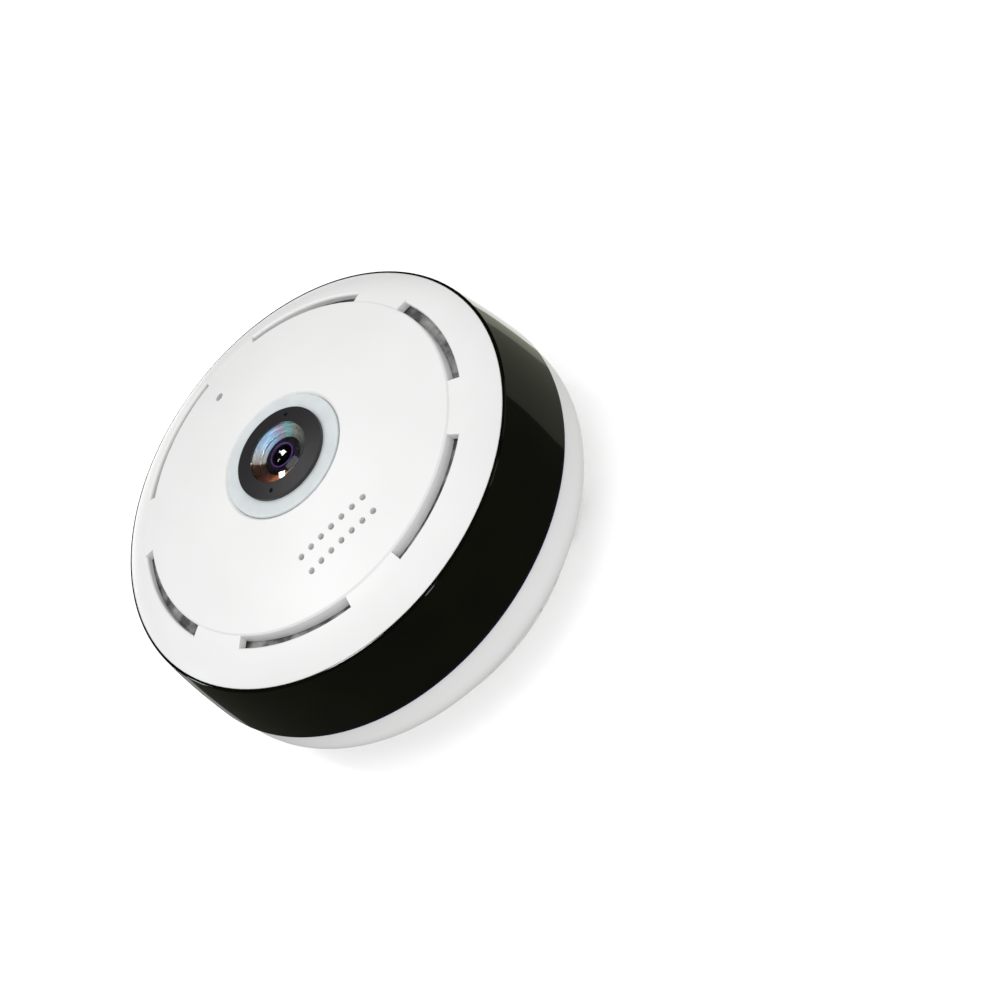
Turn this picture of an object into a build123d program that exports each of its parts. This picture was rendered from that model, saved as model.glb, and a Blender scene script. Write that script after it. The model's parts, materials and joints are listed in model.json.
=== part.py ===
from build123d import *
import os
from math import atan2, cos, degrees, radians, sin, sqrt, tan

# Ceiling dome camera with a fisheye lens. Millimetres, +Z along the optical axis.
# The origin is the centre of the mounting plate's underside. The cable notch faces -Y.

# Cutting and fitting allowances
overrun = 1.0              # how far a cutter stands past the faces it cuts
fit = 0.1                  # clearance between pieces fixed to each other
running = 0.3              # clearance between pieces that move on each other

# Mounting plate
plate_inset = 3.9          # of the plate's rim inside the housing's base
plate_thickness = 1.8
plate_edge = 0.5           # rounding of the plate's rim
plate_cable_width = 18.0   # oblong hole through which a ceiling cable comes
plate_cable_reach = 14.0   # how far the hole runs towards the notch
screw_circle_radius = 30.0
screw_hole_radius = 2.1
screw_sink_radius = 3.6
screw_count = 3
screw_azimuth = 30
lug_radius = 25.0          # circle of the bayonet lugs
lug_count = 3
lug_azimuth = 90
lug_length = 5.0           # along the circle
lug_stem = 2.6             # across the circle
lug_head = 5.6
lug_head_thickness = 1.5
twist = 15                 # degrees from locked to released

# Lower housing
wall_radius = 54.2
wall = 1.8
cone_width = 12.0          # from the base's edge to the wall's outside
base_floor = 2.0
foot_rounding = 1.5
housing_height = 21.6      # from the base to the band's seat
wall_height = 9.1          # from the corner of cone and wall to the band's seat
shoulder_rounding = 7.0
rim_height = 3.7           # thicker rim under the band's seat
rim_wall = 1.5
spigot_height = 3.0

# Vent slots, cut straight up through the cone
vent_count = 40
vent_width = 3.3
vent_base_gap = 1.8        # from the base's edge to the vents
vent_wall_gap = 1.9        # from the vents to the wall's outside
vent_cut_height = 16.0

# Cable well and notch
well_width = 15.3
well_height = 13.9
well_back = 12.0           # distance of its end wall from the axis
well_rim = 0.8             # of the base in front of the well
well_wall = 1.6
notch_radius = 3.3
notch_height = 2.5

# Side band
band_stand = 0.8           # how far the band stands past the wall
band_lean = 1.8            # how much the band narrows to its top
band_bulge = 0.3           # how far its middle stands past a straight taper
band_height = 20.9
band_wall = 2.4
band_rounding = 0.6

# Top cover
cover_wall = 2.2
cover_step = 0.6           # from the band's top edge to the cover's rim
shoulder_width = 10.5      # from the cover's rim to the crease
shoulder_mid_share = 0.6   # of the way from the crease to the rim
shoulder_rise_share = 0.524
crease_rise = 6.03
crease_step = 0.44
crease_run = 0.25
crown_rise = 11.4
crown_mid_share = 0.536    # of the way from the opening to the crease
crown_rise_share = 0.581   # of the way from the crease up to the opening
opening_radius = 15.7
opening_bevel = 0.6
skirt_wall = 1.8
skirt_depth = 4.0

# Arc slots round the face
arc_slot_gap = 0.05        # from the crease to the slots
arc_slot_width = 2.4
arc_slot_lip = 0.6         # rounding of the slots' outer edge
arc_slot_span = 40.5
arc_slot_count = 6
slot_rib_depth = 0.7       # rib under the slots' inner edge, which deepens that wall
slot_rib_wall = 1.2

# Speaker holes, and the speaker behind them
speaker_azimuth = 210
speaker_radius = 28.9
speaker_hole_radius = 0.75
speaker_rows = 2
speaker_row_gap = 4.55
speaker_columns = 7
speaker_pitch = 3.2
speaker_width = 18.0       # along the camera's radius
speaker_length = 28.0
speaker_rounding = 3.0
speaker_frame_height = 5.0
speaker_frame_wall = 1.5
gasket_thickness = 0.6
collar_wall = 1.2
collar_depth = 1.0
speaker_floor = 1.0
cone_lip = 0.8
cone_sink = 0.9
cone_thickness = 0.5
cone_cap_radius = 4.0
cone_cap_rise = 0.3
speaker_magnet_radius = 6.0
speaker_magnet_height = 2.6

# Microphone
mic_azimuth = 40
mic_radius = 33.6
mic_hole_radius = 1.05
mic_capsule_radius = 3.0
mic_capsule_height = 2.7
mic_boot_wall = 1.0
mic_boot_height = 3.6
mic_collar_wall = 1.2

# Three long screws clamp the housing, the frame and the cover
boss_count = 3
boss_azimuth = 56
boss_inset = 8.2           # of the screws' circle inside the base's edge
boss_radius = 3.2
post_radius = 4.6
screw_radius = 1.45
screw_clearance = 0.25
screw_bite = 8.0           # thread length in the cover's boss
screw_head_radius = 2.8
screw_head_height = 2.4
screw_drive_radius = 1.1
screw_drive_depth = 1.2
screw_seat_height = 15.9   # screw seat above the base's inner floor
counterbore_clearance = 0.3

# Inner frame, which carries the boards
frame_floor = 2.0
frame_inset = 0.8          # of the frame's rim inside the spigot's outside
frame_window_radius = 21.0
frame_slot_radius = 32.0
frame_slot_width = 7.0
frame_slot_span = 40
ledge_height = 2.0
ledge_width = 1.6
camera_post_height = 5.7
camera_post_radius = 2.5
camera_post_pitch = 35.0

# Camera board
board_thickness = 1.6
camera_board_side = 40.0
board_corner = 2.0
board_screw_radius = 0.95
board_screw_head_radius = 1.9
board_screw_head_height = 1.3
board_screw_bite = 4.0
chip_side = 14.0
chip_height = 1.2
sink_side = 22.0
sink_base = 1.8
fin_height = 6.0
fin_thickness = 1.0
fin_count = 6
radio_width = 13.0
radio_depth = 7.5
radio_height = 2.0
radio_offset = 14.0        # from the optical axis, towards the front
sensor_width = 10.0
sensor_depth = 8.5
sensor_height = 1.2
sensor_glass_margin = 1.0
sensor_glass_height = 0.4

# Lens holder with the filter slide inside
holder_length = 26.0
holder_width = 17.0
holder_box_height = 5.4
holder_tube_radius = 8.0
holder_ear_radius = 2.6
holder_ear_height = 3.0
holder_ear_pitch = 30.4
ear_screw_bite = 2.2
thread_radius = 6.0
slide_floor = 2.3          # cavity floor above the board
slide_height = 2.0
slide_margin = 0.4
sensor_margin = 0.4

# Filter slide
carrier_length = 14.6
carrier_width = 10.0
carrier_height = 1.4
filter_travel = 7.2
filter_length = 5.2
filter_width = 6.4
filter_thickness = 0.5
arm_width = 3.0
arm_reach = 4.2            # past the carrier's edge
magnet_side = 3.0
coil_radius = 2.4
coil_length = 12.0
coil_flange = 6.4
coil_flange_thickness = 0.8
coil_offset = 15.8         # from the optical axis

# Lens
lens_edge_radius = 11.7
lens_edge_height = 0.85
lens_stand = 1.1           # top of the edge above the cover's opening
lens_cone_rise = 0.6
glass_radius = 7.6
glass_bulge = 1.25
glass_edge = 0.5
glass_hollow_radius = 6.0
glass_hollow_depth = 2.1
barrel_radius = 8.8
barrel_wall = 1.1
barrel_neck_height = 5.6   # from the flange down to the thread
thread_wall = 1.5
spanner_hole_radius = 0.5
spanner_hole_depth = 0.3
spanner_circle_radius = 9.7
spanner_azimuth = -10
aperture_radius = 2.9
aperture_thickness = 0.6
aperture_cone_radius = 4.9 # foot of the cone round the stop
aperture_cone_rise = 0.5
middle_lens_edge = 0.9
middle_lens_bulge = 1.1
rear_lens_edge = 1.4
rear_lens_bulge = 0.7
spacer_wall = 0.7
tail_lip = 0.8
tail_lip_height = 0.6
lens_seat_gap = 1.2
lock_ring_radius = 8.6
lock_ring_height = 1.4
lock_ring_notches = 12
lock_ring_notch = 1.2

# Status light ring round the lens
ring_inner_radius = 10.6
ring_outer_radius = 15.6
ring_height = 3.85
ring_rounding = 0.35
ring_flange = 1.0
ring_flange_height = 1.2
ring_rim_height = 1.0
ring_board_thickness = 1.0
ring_board_inner_radius = 9.4
status_led_count = 6
status_led_side = 1.6
status_led_height = 0.7
status_led_circle_radius = 13.0

# Dust screen behind the arc slots
screen_margin = 2.15       # of the screen past the slots' outer wall
screen_thickness = 0.8

# Infrared board and its lamps, which shine out through the band
ir_board_inset = 0.4       # of the board's rim inside the cover's skirt
ir_board_width = 10.0
ir_board_thickness = 1.6
ir_lamp_count = 12
ir_lamp_azimuth = 15
ir_lamp_inset = 2.9        # of the lamps' circle inside the board's rim
ir_lamp_width = 4.0
ir_lamp_depth = 3.4
ir_lamp_height = 4.4
ir_lamp_lens_radius = 1.6
sensor_tube_radius = 1.8
sensor_tube_length = 4.0
sensor_tube_azimuth = -90

# Base board with the sockets
base_post_height = 6.9
base_post_radius = 2.2
base_post_x = 17.0
base_post_front = 6.5
base_post_back = 17.0
base_board_width = 42.0
base_board_front = 9.9
base_board_back = 20.0
socket_width = 7.6
socket_height = 2.7
socket_depth = 5.6
socket_wall = 0.4
socket_reach = 0.6         # of its mouth into the well's end wall
socket_opening_clearance = 0.3
tongue_width = 4.0
tongue_height = 0.7
card_width = 12.0
card_height = 1.5
card_socket_width = 14.6
card_socket_depth = 15.0
card_socket_height = 1.9
card_lift = 0.2
switch_side = 6.0
switch_height = 3.5
plunger_radius = 1.7
plunger_length = 2.0
plunger_stand = 0.6
button_x = 14.0
button_y = 5.0
button_radius = 2.0
button_flange_radius = 3.0
button_flange_thickness = 1.0
button_recess = 0.4
button_travel = 0.5
capacitor_radius = 3.2
capacitor_height = 8.0
capacitor_x = -11.0
capacitor_y = 13.0
capacitor_pitch = 7.2
coil_block_side = 7.0
coil_block_height = 4.0
coil_block_x = 11.0
coil_block_y = 11.5
connector_length = 12.0
connector_width = 4.0
connector_height = 1.6
ribbon_y = 16.0
ribbon_width = 9.0
ribbon_thickness = 0.3
wire_connector_x = -18.0
wire_connector_y = 4.0
wire_connector_width = 3.6
wire_connector_length = 6.0
wire_connector_height = 3.4
wire_radius = 0.45
wire_pitch = 1.6
wire_bend = 3.0
wire_rise = 2.6            # of the speaker wires above the base board
speaker_wire_azimuth = 232
speaker_wire_radius = 32.0
mic_connector_x = 17.0
mic_connector_y = 9.0
mic_connector_width = 3.6
mic_connector_length = 5.0
mic_connector_height = 2.4
antenna_azimuth = -90
antenna_span = 50
antenna_height = 3.2
antenna_thickness = 0.3

# Heights and radii that follow from the sizes above
base_radius = wall_radius - cone_width
cone_height = housing_height - wall_height
plate_radius = base_radius - plate_inset
vent_inner_radius = base_radius + vent_base_gap
vent_outer_radius = wall_radius - vent_wall_gap
well_front = base_radius - well_rim
boss_circle_radius = base_radius - boss_inset
band_radius = wall_radius + band_stand
band_top_radius = band_radius - band_lean
cover_rim_radius = band_top_radius - cover_step
crease_radius = cover_rim_radius - shoulder_width
base_z = plate_thickness + running
floor_z = base_z + base_floor
band_z = base_z + housing_height
rim_z = band_z - rim_height
spigot_z = band_z + spigot_height
frame_z = spigot_z + frame_floor
cover_z = band_z + band_height
crown_z = cover_z + crown_rise
camera_board_z = frame_z + camera_post_height
camera_top_z = camera_board_z + board_thickness
base_board_z = floor_z + base_post_height
base_board_top_z = base_board_z + board_thickness
band_inner_radius = band_radius - band_wall
band_inner_top_radius = band_top_radius - band_wall
band_taper = (band_inner_radius - band_inner_top_radius) / band_height
spigot_radius = band_inner_radius - band_taper * spigot_height - fit
spigot_inner_radius = spigot_radius - rim_wall
skirt_radius = band_inner_top_radius - fit
skirt_inner_radius = skirt_radius - skirt_wall
frame_radius = spigot_radius - frame_inset
arc_slot_inner_radius = crease_radius + arc_slot_gap
arc_slot_outer_radius = arc_slot_inner_radius + arc_slot_width
screen_inner_radius = arc_slot_inner_radius - slot_rib_wall
screen_outer_radius = arc_slot_outer_radius + screen_margin
ir_board_outer_radius = skirt_inner_radius - ir_board_inset
ir_board_inner_radius = ir_board_outer_radius - ir_board_width
ir_lamp_circle_radius = ir_board_outer_radius - ir_lamp_inset
first_slot_azimuth = speaker_azimuth + (360 / arc_slot_count - arc_slot_span) / 2
screw_seat_z = floor_z + screw_seat_height
CENTRED = (Align.CENTER, Align.CENTER, Align.MIN)
HANGING = (Align.CENTER, Align.CENTER, Align.MAX)


def arc_height(points, radius):
    """Height, at a radius, of the arc through three (radius, height) points."""
    (r1, z1), (r2, z2), (r3, z3) = points
    slope_a = (r2 - r1) / (z1 - z2)
    slope_b = (r3 - r2) / (z2 - z3)
    middle_a = ((r1 + r2) / 2, (z1 + z2) / 2)
    middle_b = ((r2 + r3) / 2, (z2 + z3) / 2)
    rise = middle_b[1] - middle_a[1] - slope_b * middle_b[0] + slope_a * middle_a[0]
    centre_r = rise / (slope_a - slope_b)
    centre_z = middle_a[1] + slope_a * (centre_r - middle_a[0])
    reach = sqrt((r1 - centre_r) ** 2 + (z1 - centre_z) ** 2)
    return centre_z + sqrt(reach ** 2 - (radius - centre_r) ** 2)


def lowered(points, depth):
    """The same points, moved down by a depth."""
    return [(radius, height - depth) for radius, height in points]


def ring_sector(inner_radius, outer_radius, start, span):
    """Flat piece of a ring between two angles."""
    with BuildSketch() as sector:
        with BuildLine():
            outer = CenterArc((0, 0), outer_radius, start, span)
            inner = CenterArc((0, 0), inner_radius, start, span)
            Line(outer @ 0, inner @ 0)
            Line(outer @ 1, inner @ 1)
        make_face()
    return sector.sketch


def polar(radius, azimuth):
    """The x and y of a point on a circle."""
    return radius * cos(radians(azimuth)), radius * sin(radians(azimuth))


# Outer and inner curves of the cover, as three points each, from the rim inwards
shoulder = [
    (cover_rim_radius, cover_z),
    (crease_radius + shoulder_mid_share * shoulder_width, cover_z + shoulder_rise_share * crease_rise),
    (crease_radius, cover_z + crease_rise - crease_step),
]
crown_edge_radius = opening_radius + opening_bevel
crown_foot_radius = crease_radius - crease_run
crown_mid = (
    crown_edge_radius + crown_mid_share * (crown_foot_radius - crown_edge_radius),
    cover_z + crease_rise + crown_rise_share * (crown_rise - crease_rise),
)
crown = [
    (crown_foot_radius, cover_z + crease_rise),
    crown_mid,
    (crown_edge_radius, crown_z),
]
crown_inside = lowered(
    [
        (crease_radius, cover_z + crease_rise - crease_step),
        crown_mid,
        (opening_radius, arc_height(crown, opening_radius)),
    ],
    cover_wall,
)
shoulder_inside_radius = (crease_radius + skirt_inner_radius) / 2
shoulder_inside = lowered(
    [
        (skirt_inner_radius, arc_height(shoulder, skirt_inner_radius)),
        (shoulder_inside_radius, arc_height(shoulder, shoulder_inside_radius)),
        (crease_radius, cover_z + crease_rise - crease_step),
    ],
    cover_wall,
)

# Places that hang from the cover's inner face
slot_rib_z = shoulder_inside[-1][1] - slot_rib_depth
collar_half_width = speaker_width / 2 + fit + collar_wall
collar_half_length = speaker_length / 2 + fit + collar_wall
collar_z = arc_height(crown_inside, speaker_radius + collar_half_width) - collar_depth
speaker_top_z = collar_z - gasket_thickness
speaker_z = speaker_top_z - speaker_frame_height
mic_boot_radius = mic_capsule_radius + mic_boot_wall
mic_collar_radius = mic_boot_radius + fit + mic_collar_wall
mic_boot_top_z = arc_height(crown_inside, mic_radius + mic_collar_radius) - fit
mic_boot_z = mic_boot_top_z - mic_boot_height

# Places of the lens stack
lens_edge_z = crown_z + lens_stand
lens_flange_z = lens_edge_z - lens_edge_height
lens_lip_z = lens_edge_z + lens_cone_rise
thread_top_z = lens_flange_z - barrel_neck_height
slide_z = camera_top_z + slide_floor
slide_top_z = slide_z + slide_height
holder_box_z = camera_top_z + holder_box_height
thread_z = slide_top_z + running
holder_top_z = thread_top_z - lock_ring_height - fit
ring_top_z = lens_flange_z - fit
ring_z = ring_top_z - ring_height
ring_flange_radius = ring_outer_radius + ring_flange
ring_board_z = ring_z - ring_rim_height
cone_angle = atan2(wall_radius - base_radius, cone_height)
cone_inset = wall / cos(cone_angle)
inside_base_radius = base_radius + base_floor * tan(cone_angle) - cone_inset
inside_corner_z = base_z + (wall_radius - wall + cone_inset - base_radius) / tan(cone_angle)
inside_wall_radius = wall_radius - wall
inside_wall_z = rim_z - (inside_wall_radius - spigot_inner_radius)
inside_rounding = min(
    shoulder_rounding - wall, (inside_wall_z - inside_corner_z) / tan(cone_angle / 2)
)

os.makedirs("parts", exist_ok=True)

# The mounting plate stays on the ceiling. Its lugs hook over the housing's floor.
lug_half_angle = degrees(lug_length / lug_radius) / 2
lug_top_z = floor_z + running + lug_head_thickness
with BuildPart() as mounting_plate:
    with BuildSketch():
        Circle(plate_radius)
        with Locations((0, -plate_cable_reach / 2)):
            SlotCenterToCenter(
                plate_cable_reach, plate_cable_width, rotation=90, mode=Mode.SUBTRACT
            )
    extrude(amount=plate_thickness)
    fillet(mounting_plate.faces().sort_by(Axis.Z)[-1].outer_wire().edges(), plate_edge)
    with PolarLocations(screw_circle_radius, screw_count, start_angle=screw_azimuth):
        with Locations((0, 0, plate_thickness)):
            CounterSinkHole(screw_hole_radius, screw_sink_radius, depth=plate_thickness + overrun)
    with BuildSketch(Plane.XY.offset(plate_thickness)):
        with PolarLocations(0, lug_count, start_angle=lug_azimuth):
            add(
                ring_sector(
                    lug_radius - lug_stem / 2,
                    lug_radius + lug_stem / 2,
                    -lug_half_angle,
                    2 * lug_half_angle,
                )
            )
    extrude(amount=lug_top_z - plate_thickness)
    with BuildSketch(Plane.XY.offset(floor_z + running)):
        with PolarLocations(0, lug_count, start_angle=lug_azimuth):
            add(
                ring_sector(
                    lug_radius - lug_head / 2,
                    lug_radius + lug_head / 2,
                    -lug_half_angle,
                    2 * lug_half_angle,
                )
            )
    extrude(amount=lug_head_thickness)
mounting_plate.part.label = "mounting_plate"

# Solid shape of the lower housing's outside, which trims what stands inside it
housing_outline = [
    (0, base_z),
    (base_radius, base_z),
    (wall_radius, base_z + cone_height),
    (wall_radius, band_z),
]
with BuildPart() as housing_envelope:
    with BuildSketch(Plane.XZ):
        with BuildLine():
            FilletPolyline(housing_outline, radius=[foot_rounding, shoulder_rounding])
            Polyline((wall_radius, band_z), (0, band_z), (0, base_z))
        make_face()
    revolve(axis=Axis.Z)

# Shroud of the cable well, which reaches the cone behind the vents
shroud_front = well_front + well_wall
shroud_back = well_back - well_wall
with BuildPart() as well_shroud:
    with BuildSketch(Plane.XY.offset(base_z)):
        with Locations((0, -(shroud_front + shroud_back) / 2)):
            Rectangle(well_width + 2 * well_wall, shroud_front - shroud_back)
    extrude(amount=well_height + well_wall)
    add(housing_envelope.part, mode=Mode.INTERSECT)

# Angles of the bayonet openings: a narrow run, then the wide entry
lug_play_angle = degrees(running / lug_radius)
run_start = -lug_half_angle - lug_play_angle
run_span = twist + 2 * (lug_half_angle + lug_play_angle)
entry_start = twist - lug_half_angle - lug_play_angle
entry_span = 2 * (lug_half_angle + lug_play_angle)
base_post_places = [
    (side * base_post_x, y) for side in (-1, 1) for y in (-base_post_front, base_post_back)
]

with BuildPart() as lower_housing:
    with BuildSketch(Plane.XZ):
        with BuildLine():
            FilletPolyline(housing_outline, radius=[foot_rounding, shoulder_rounding])
            Polyline(
                (wall_radius, band_z),
                (spigot_radius, band_z),
                (spigot_radius, spigot_z),
                (spigot_inner_radius, spigot_z),
                (spigot_inner_radius, rim_z),
                (inside_wall_radius, inside_wall_z),
            )
            FilletPolyline(
                (inside_wall_radius, inside_wall_z),
                (inside_wall_radius, inside_corner_z),
                (inside_base_radius, floor_z),
                (0, floor_z),
                radius=[inside_rounding, 0],
            )
            Line((0, floor_z), (0, base_z))
        make_face()
    revolve(axis=Axis.Z)
    # posts for the three long screws and for the base board
    with BuildSketch(Plane.XY.offset(floor_z)):
        with PolarLocations(boss_circle_radius, boss_count, start_angle=boss_azimuth):
            Circle(post_radius)
    extrude(amount=spigot_z - floor_z)
    with BuildSketch(Plane.XY.offset(floor_z)):
        with Locations(*base_post_places):
            Circle(base_post_radius)
    extrude(amount=base_post_height)
    add(well_shroud.part)
    # vents
    with BuildSketch(Plane.XY.offset(base_z)):
        with PolarLocations(0, vent_count, start_angle=-90 + 180 / vent_count):
            with Locations(((vent_inner_radius + vent_outer_radius) / 2, 0)):
                Rectangle(vent_outer_radius - vent_inner_radius, vent_width)
    extrude(amount=vent_cut_height, mode=Mode.SUBTRACT)
    # inside of the cable well, open downwards
    with BuildSketch(Plane.XY.offset(base_z)):
        with Locations((0, -(well_front + well_back) / 2)):
            Rectangle(well_width, well_front - well_back)
    extrude(amount=well_height, mode=Mode.SUBTRACT)
    with BuildSketch(Plane.XZ.offset(well_front - overrun)):
        with Locations((0, base_z + notch_height - notch_radius)):
            Circle(notch_radius)
    extrude(amount=base_radius - well_front + 2 * overrun, mode=Mode.SUBTRACT)
    # openings for the two sockets in the well's end wall
    with BuildSketch(Plane.XZ.offset(well_back + overrun)):
        with Locations((0, base_board_z - socket_height / 2)):
            Rectangle(
                socket_width + 2 * socket_opening_clearance,
                socket_height + 2 * socket_opening_clearance,
            )
        with Locations((0, base_board_top_z + card_lift + card_height / 2)):
            Rectangle(card_width, card_height)
    extrude(amount=-well_wall - 2 * overrun, mode=Mode.SUBTRACT)
    # bayonet openings
    with BuildSketch(Plane.XY.offset(base_z)):
        with PolarLocations(0, lug_count, start_angle=lug_azimuth):
            add(
                ring_sector(
                    lug_radius - lug_stem / 2 - running,
                    lug_radius + lug_stem / 2 + running,
                    run_start,
                    run_span,
                )
            )
            add(
                ring_sector(
                    lug_radius - lug_head / 2 - running,
                    lug_radius + lug_head / 2 + running,
                    entry_start,
                    entry_span,
                )
            )
    extrude(amount=base_floor, mode=Mode.SUBTRACT)
    # screw holes and the reset button's hole
    with BuildSketch(Plane.XY.offset(base_z)):
        with PolarLocations(boss_circle_radius, boss_count, start_angle=boss_azimuth):
            Circle(screw_radius + screw_clearance)
        with Locations((button_x, button_y)):
            Circle(button_radius + running)
    extrude(amount=spigot_z - base_z, mode=Mode.SUBTRACT)
    with BuildSketch(Plane.XY.offset(base_z)):
        with PolarLocations(boss_circle_radius, boss_count, start_angle=boss_azimuth):
            Circle(screw_head_radius + counterbore_clearance)
    extrude(amount=screw_seat_z - base_z, mode=Mode.SUBTRACT)
    with BuildSketch(Plane.XY.offset(base_board_z)):
        with Locations(*base_post_places):
            Circle(board_screw_radius + fit / 2)
    extrude(amount=-board_screw_bite - fit, mode=Mode.SUBTRACT)
lower_housing.part.label = "lower_housing"

# Side band, dark to the eye and clear to infrared
band_mid_radius = (band_radius + band_top_radius) / 2 + band_bulge
with BuildPart() as side_band:
    with BuildSketch(Plane.XZ):
        with BuildLine():
            ThreePointArc(
                (band_radius, band_z),
                (band_mid_radius, band_z + band_height / 2),
                (band_top_radius, cover_z),
            )
            Polyline(
                (band_top_radius, cover_z),
                (band_inner_top_radius, cover_z),
                (band_inner_radius, band_z),
                (band_radius, band_z),
            )
        make_face()
    revolve(axis=Axis.Z)
    fillet(side_band.faces().sort_by(Axis.Z)[-1].outer_wire().edges(), band_rounding)
    fillet(side_band.faces().sort_by(Axis.Z)[0].outer_wire().edges(), band_rounding / 2)
side_band.part.label = "side_band"

# Solid shape of the cover's outside, which trims the bosses and collars
with BuildPart() as cover_envelope:
    with BuildSketch(Plane.XZ):
        with BuildLine():
            ThreePointArc(*lowered(shoulder, cover_wall / 2))
            Line(*lowered([shoulder[-1], crown[0]], cover_wall / 2))
            ThreePointArc(*lowered(crown, cover_wall / 2))
            Polyline(
                (crown[-1][0], crown_z - cover_wall / 2),
                (crown[-1][0], spigot_z),
                (cover_rim_radius, spigot_z),
                (cover_rim_radius, cover_z - cover_wall / 2),
            )
        make_face()
    revolve(axis=Axis.Z)

# Screw bosses, slot rib, speaker collar and microphone collar, which hang from the cover
with BuildPart() as cover_fittings:
    with BuildSketch(Plane.XY.offset(frame_z)):
        with PolarLocations(boss_circle_radius, boss_count, start_angle=boss_azimuth):
            Circle(boss_radius)
    extrude(amount=crown_z - frame_z)
    with BuildSketch(Plane.XY.offset(frame_z)):
        with PolarLocations(boss_circle_radius, boss_count, start_angle=boss_azimuth):
            Circle(screw_radius + fit / 2)
    extrude(amount=screw_bite + running, mode=Mode.SUBTRACT)
    with BuildSketch(Plane.XY.offset(slot_rib_z)):
        Circle(arc_slot_inner_radius)
        Circle(arc_slot_inner_radius - slot_rib_wall, mode=Mode.SUBTRACT)
    extrude(amount=crown_z - slot_rib_z)
    with BuildSketch(Plane.XY.offset(collar_z)):
        with PolarLocations(speaker_radius, 1, start_angle=speaker_azimuth):
            RectangleRounded(
                2 * collar_half_width,
                2 * collar_half_length,
                speaker_rounding + collar_wall,
            )
            RectangleRounded(
                speaker_width - 2 * speaker_frame_wall,
                speaker_length - 2 * speaker_frame_wall,
                speaker_rounding,
                mode=Mode.SUBTRACT,
            )
    extrude(amount=crown_z - collar_z)
    with BuildSketch(Plane.XY.offset(mic_boot_z)):
        with PolarLocations(mic_radius, 1, start_angle=mic_azimuth):
            Circle(mic_collar_radius)
            Circle(mic_boot_radius + fit, mode=Mode.SUBTRACT)
    extrude(amount=crown_z - mic_boot_z)
    add(cover_envelope.part, mode=Mode.INTERSECT)

# Cutter of one arc slot, with a rounded lip at its outer edge
slot_lip_radius = arc_slot_outer_radius + arc_slot_lip
slot_lip_z = arc_height(shoulder, slot_lip_radius)
with BuildPart() as arc_slot:
    with BuildSketch(Plane.XZ):
        with BuildLine():
            CenterArc((slot_lip_radius, slot_lip_z - arc_slot_lip), arc_slot_lip, 90, 90)
            Polyline(
                (arc_slot_outer_radius, slot_lip_z - arc_slot_lip),
                (arc_slot_outer_radius, cover_z),
                (arc_slot_inner_radius, cover_z),
                (arc_slot_inner_radius, crown_z),
                (slot_lip_radius, crown_z),
                (slot_lip_radius, slot_lip_z),
            )
        make_face()
    revolve(axis=Axis.Z, revolution_arc=arc_slot_span)

with BuildPart() as top_cover:
    with BuildSketch(Plane.XZ):
        with BuildLine():
            ThreePointArc(*shoulder)
            Line(shoulder[-1], crown[0])
            ThreePointArc(*crown)
            Polyline(
                crown[-1],
                (opening_radius, crown_z - opening_bevel),
                crown_inside[-1],
            )
            ThreePointArc(*crown_inside)
            ThreePointArc(*shoulder_inside)
            Polyline(
                shoulder_inside[0],
                (skirt_inner_radius, cover_z - skirt_depth),
                (skirt_radius, cover_z - skirt_depth),
                (skirt_radius, cover_z),
                (cover_rim_radius, cover_z),
            )
        make_face()
    revolve(axis=Axis.Z)
    add(cover_fittings.part)
    with PolarLocations(0, arc_slot_count, start_angle=first_slot_azimuth):
        add(arc_slot.part, mode=Mode.SUBTRACT)
    with BuildSketch(Plane.XY.offset(cover_z)):
        with PolarLocations(speaker_radius, 1, start_angle=speaker_azimuth):
            with GridLocations(speaker_row_gap, speaker_pitch, speaker_rows, speaker_columns):
                Circle(speaker_hole_radius)
        with PolarLocations(mic_radius, 1, start_angle=mic_azimuth):
            Circle(mic_hole_radius)
    extrude(amount=crown_rise + overrun, mode=Mode.SUBTRACT)
top_cover.part.label = "top_cover"

# Frosted ring round the lens, lit from below
with BuildPart() as status_light_ring:
    with BuildSketch(Plane.XZ):
        with BuildLine():
            Polyline(
                (ring_inner_radius, ring_z),
                (ring_inner_radius, ring_top_z),
                (ring_outer_radius, ring_top_z),
                (ring_outer_radius, ring_z + ring_flange_height),
                (ring_flange_radius, ring_z + ring_flange_height),
                (ring_flange_radius, ring_board_z),
                (ring_outer_radius, ring_board_z),
                (ring_outer_radius, ring_z),
                (ring_inner_radius, ring_z),
            )
        make_face()
    revolve(axis=Axis.Z)
    fillet(status_light_ring.faces().sort_by(Axis.Z)[-1].outer_wire().edges(), ring_rounding)
status_light_ring.part.label = "status_light_ring"

with BuildPart() as status_light_board:
    with BuildSketch(Plane.XY.offset(ring_board_z - ring_board_thickness)):
        Circle(ring_flange_radius)
        Circle(ring_board_inner_radius, mode=Mode.SUBTRACT)
    extrude(amount=ring_board_thickness)
status_light_board.part.label = "status_light_board"

with BuildPart() as status_lights:
    with PolarLocations(status_led_circle_radius, status_led_count):
        with Locations((0, 0, ring_board_z)):
            Box(status_led_side, status_led_side, status_led_height, align=CENTRED)
status_lights.part.label = "status_lights"

# Dust screen, a shallow cone between the slot rib and the cover's shoulder, clear of the speaker
screen_rise = [
    (screen_inner_radius, slot_rib_z - fit),
    (screen_outer_radius, arc_height(shoulder_inside, screen_outer_radius) - fit),
]
with BuildPart() as dust_screen:
    with BuildSketch(Plane.XZ):
        with BuildLine():
            Polyline(*screen_rise, *reversed(lowered(screen_rise, screen_thickness)), close=True)
        make_face()
    revolve(axis=Axis.Z)
    with BuildSketch(Plane.XY.offset(cover_z)):
        with PolarLocations(speaker_radius, 1, start_angle=speaker_azimuth):
            RectangleRounded(
                2 * (collar_half_width + running),
                2 * (collar_half_length + running),
                speaker_rounding + collar_wall + running,
            )
    extrude(amount=crown_rise, mode=Mode.SUBTRACT)
dust_screen.part.label = "dust_screen"

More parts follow.
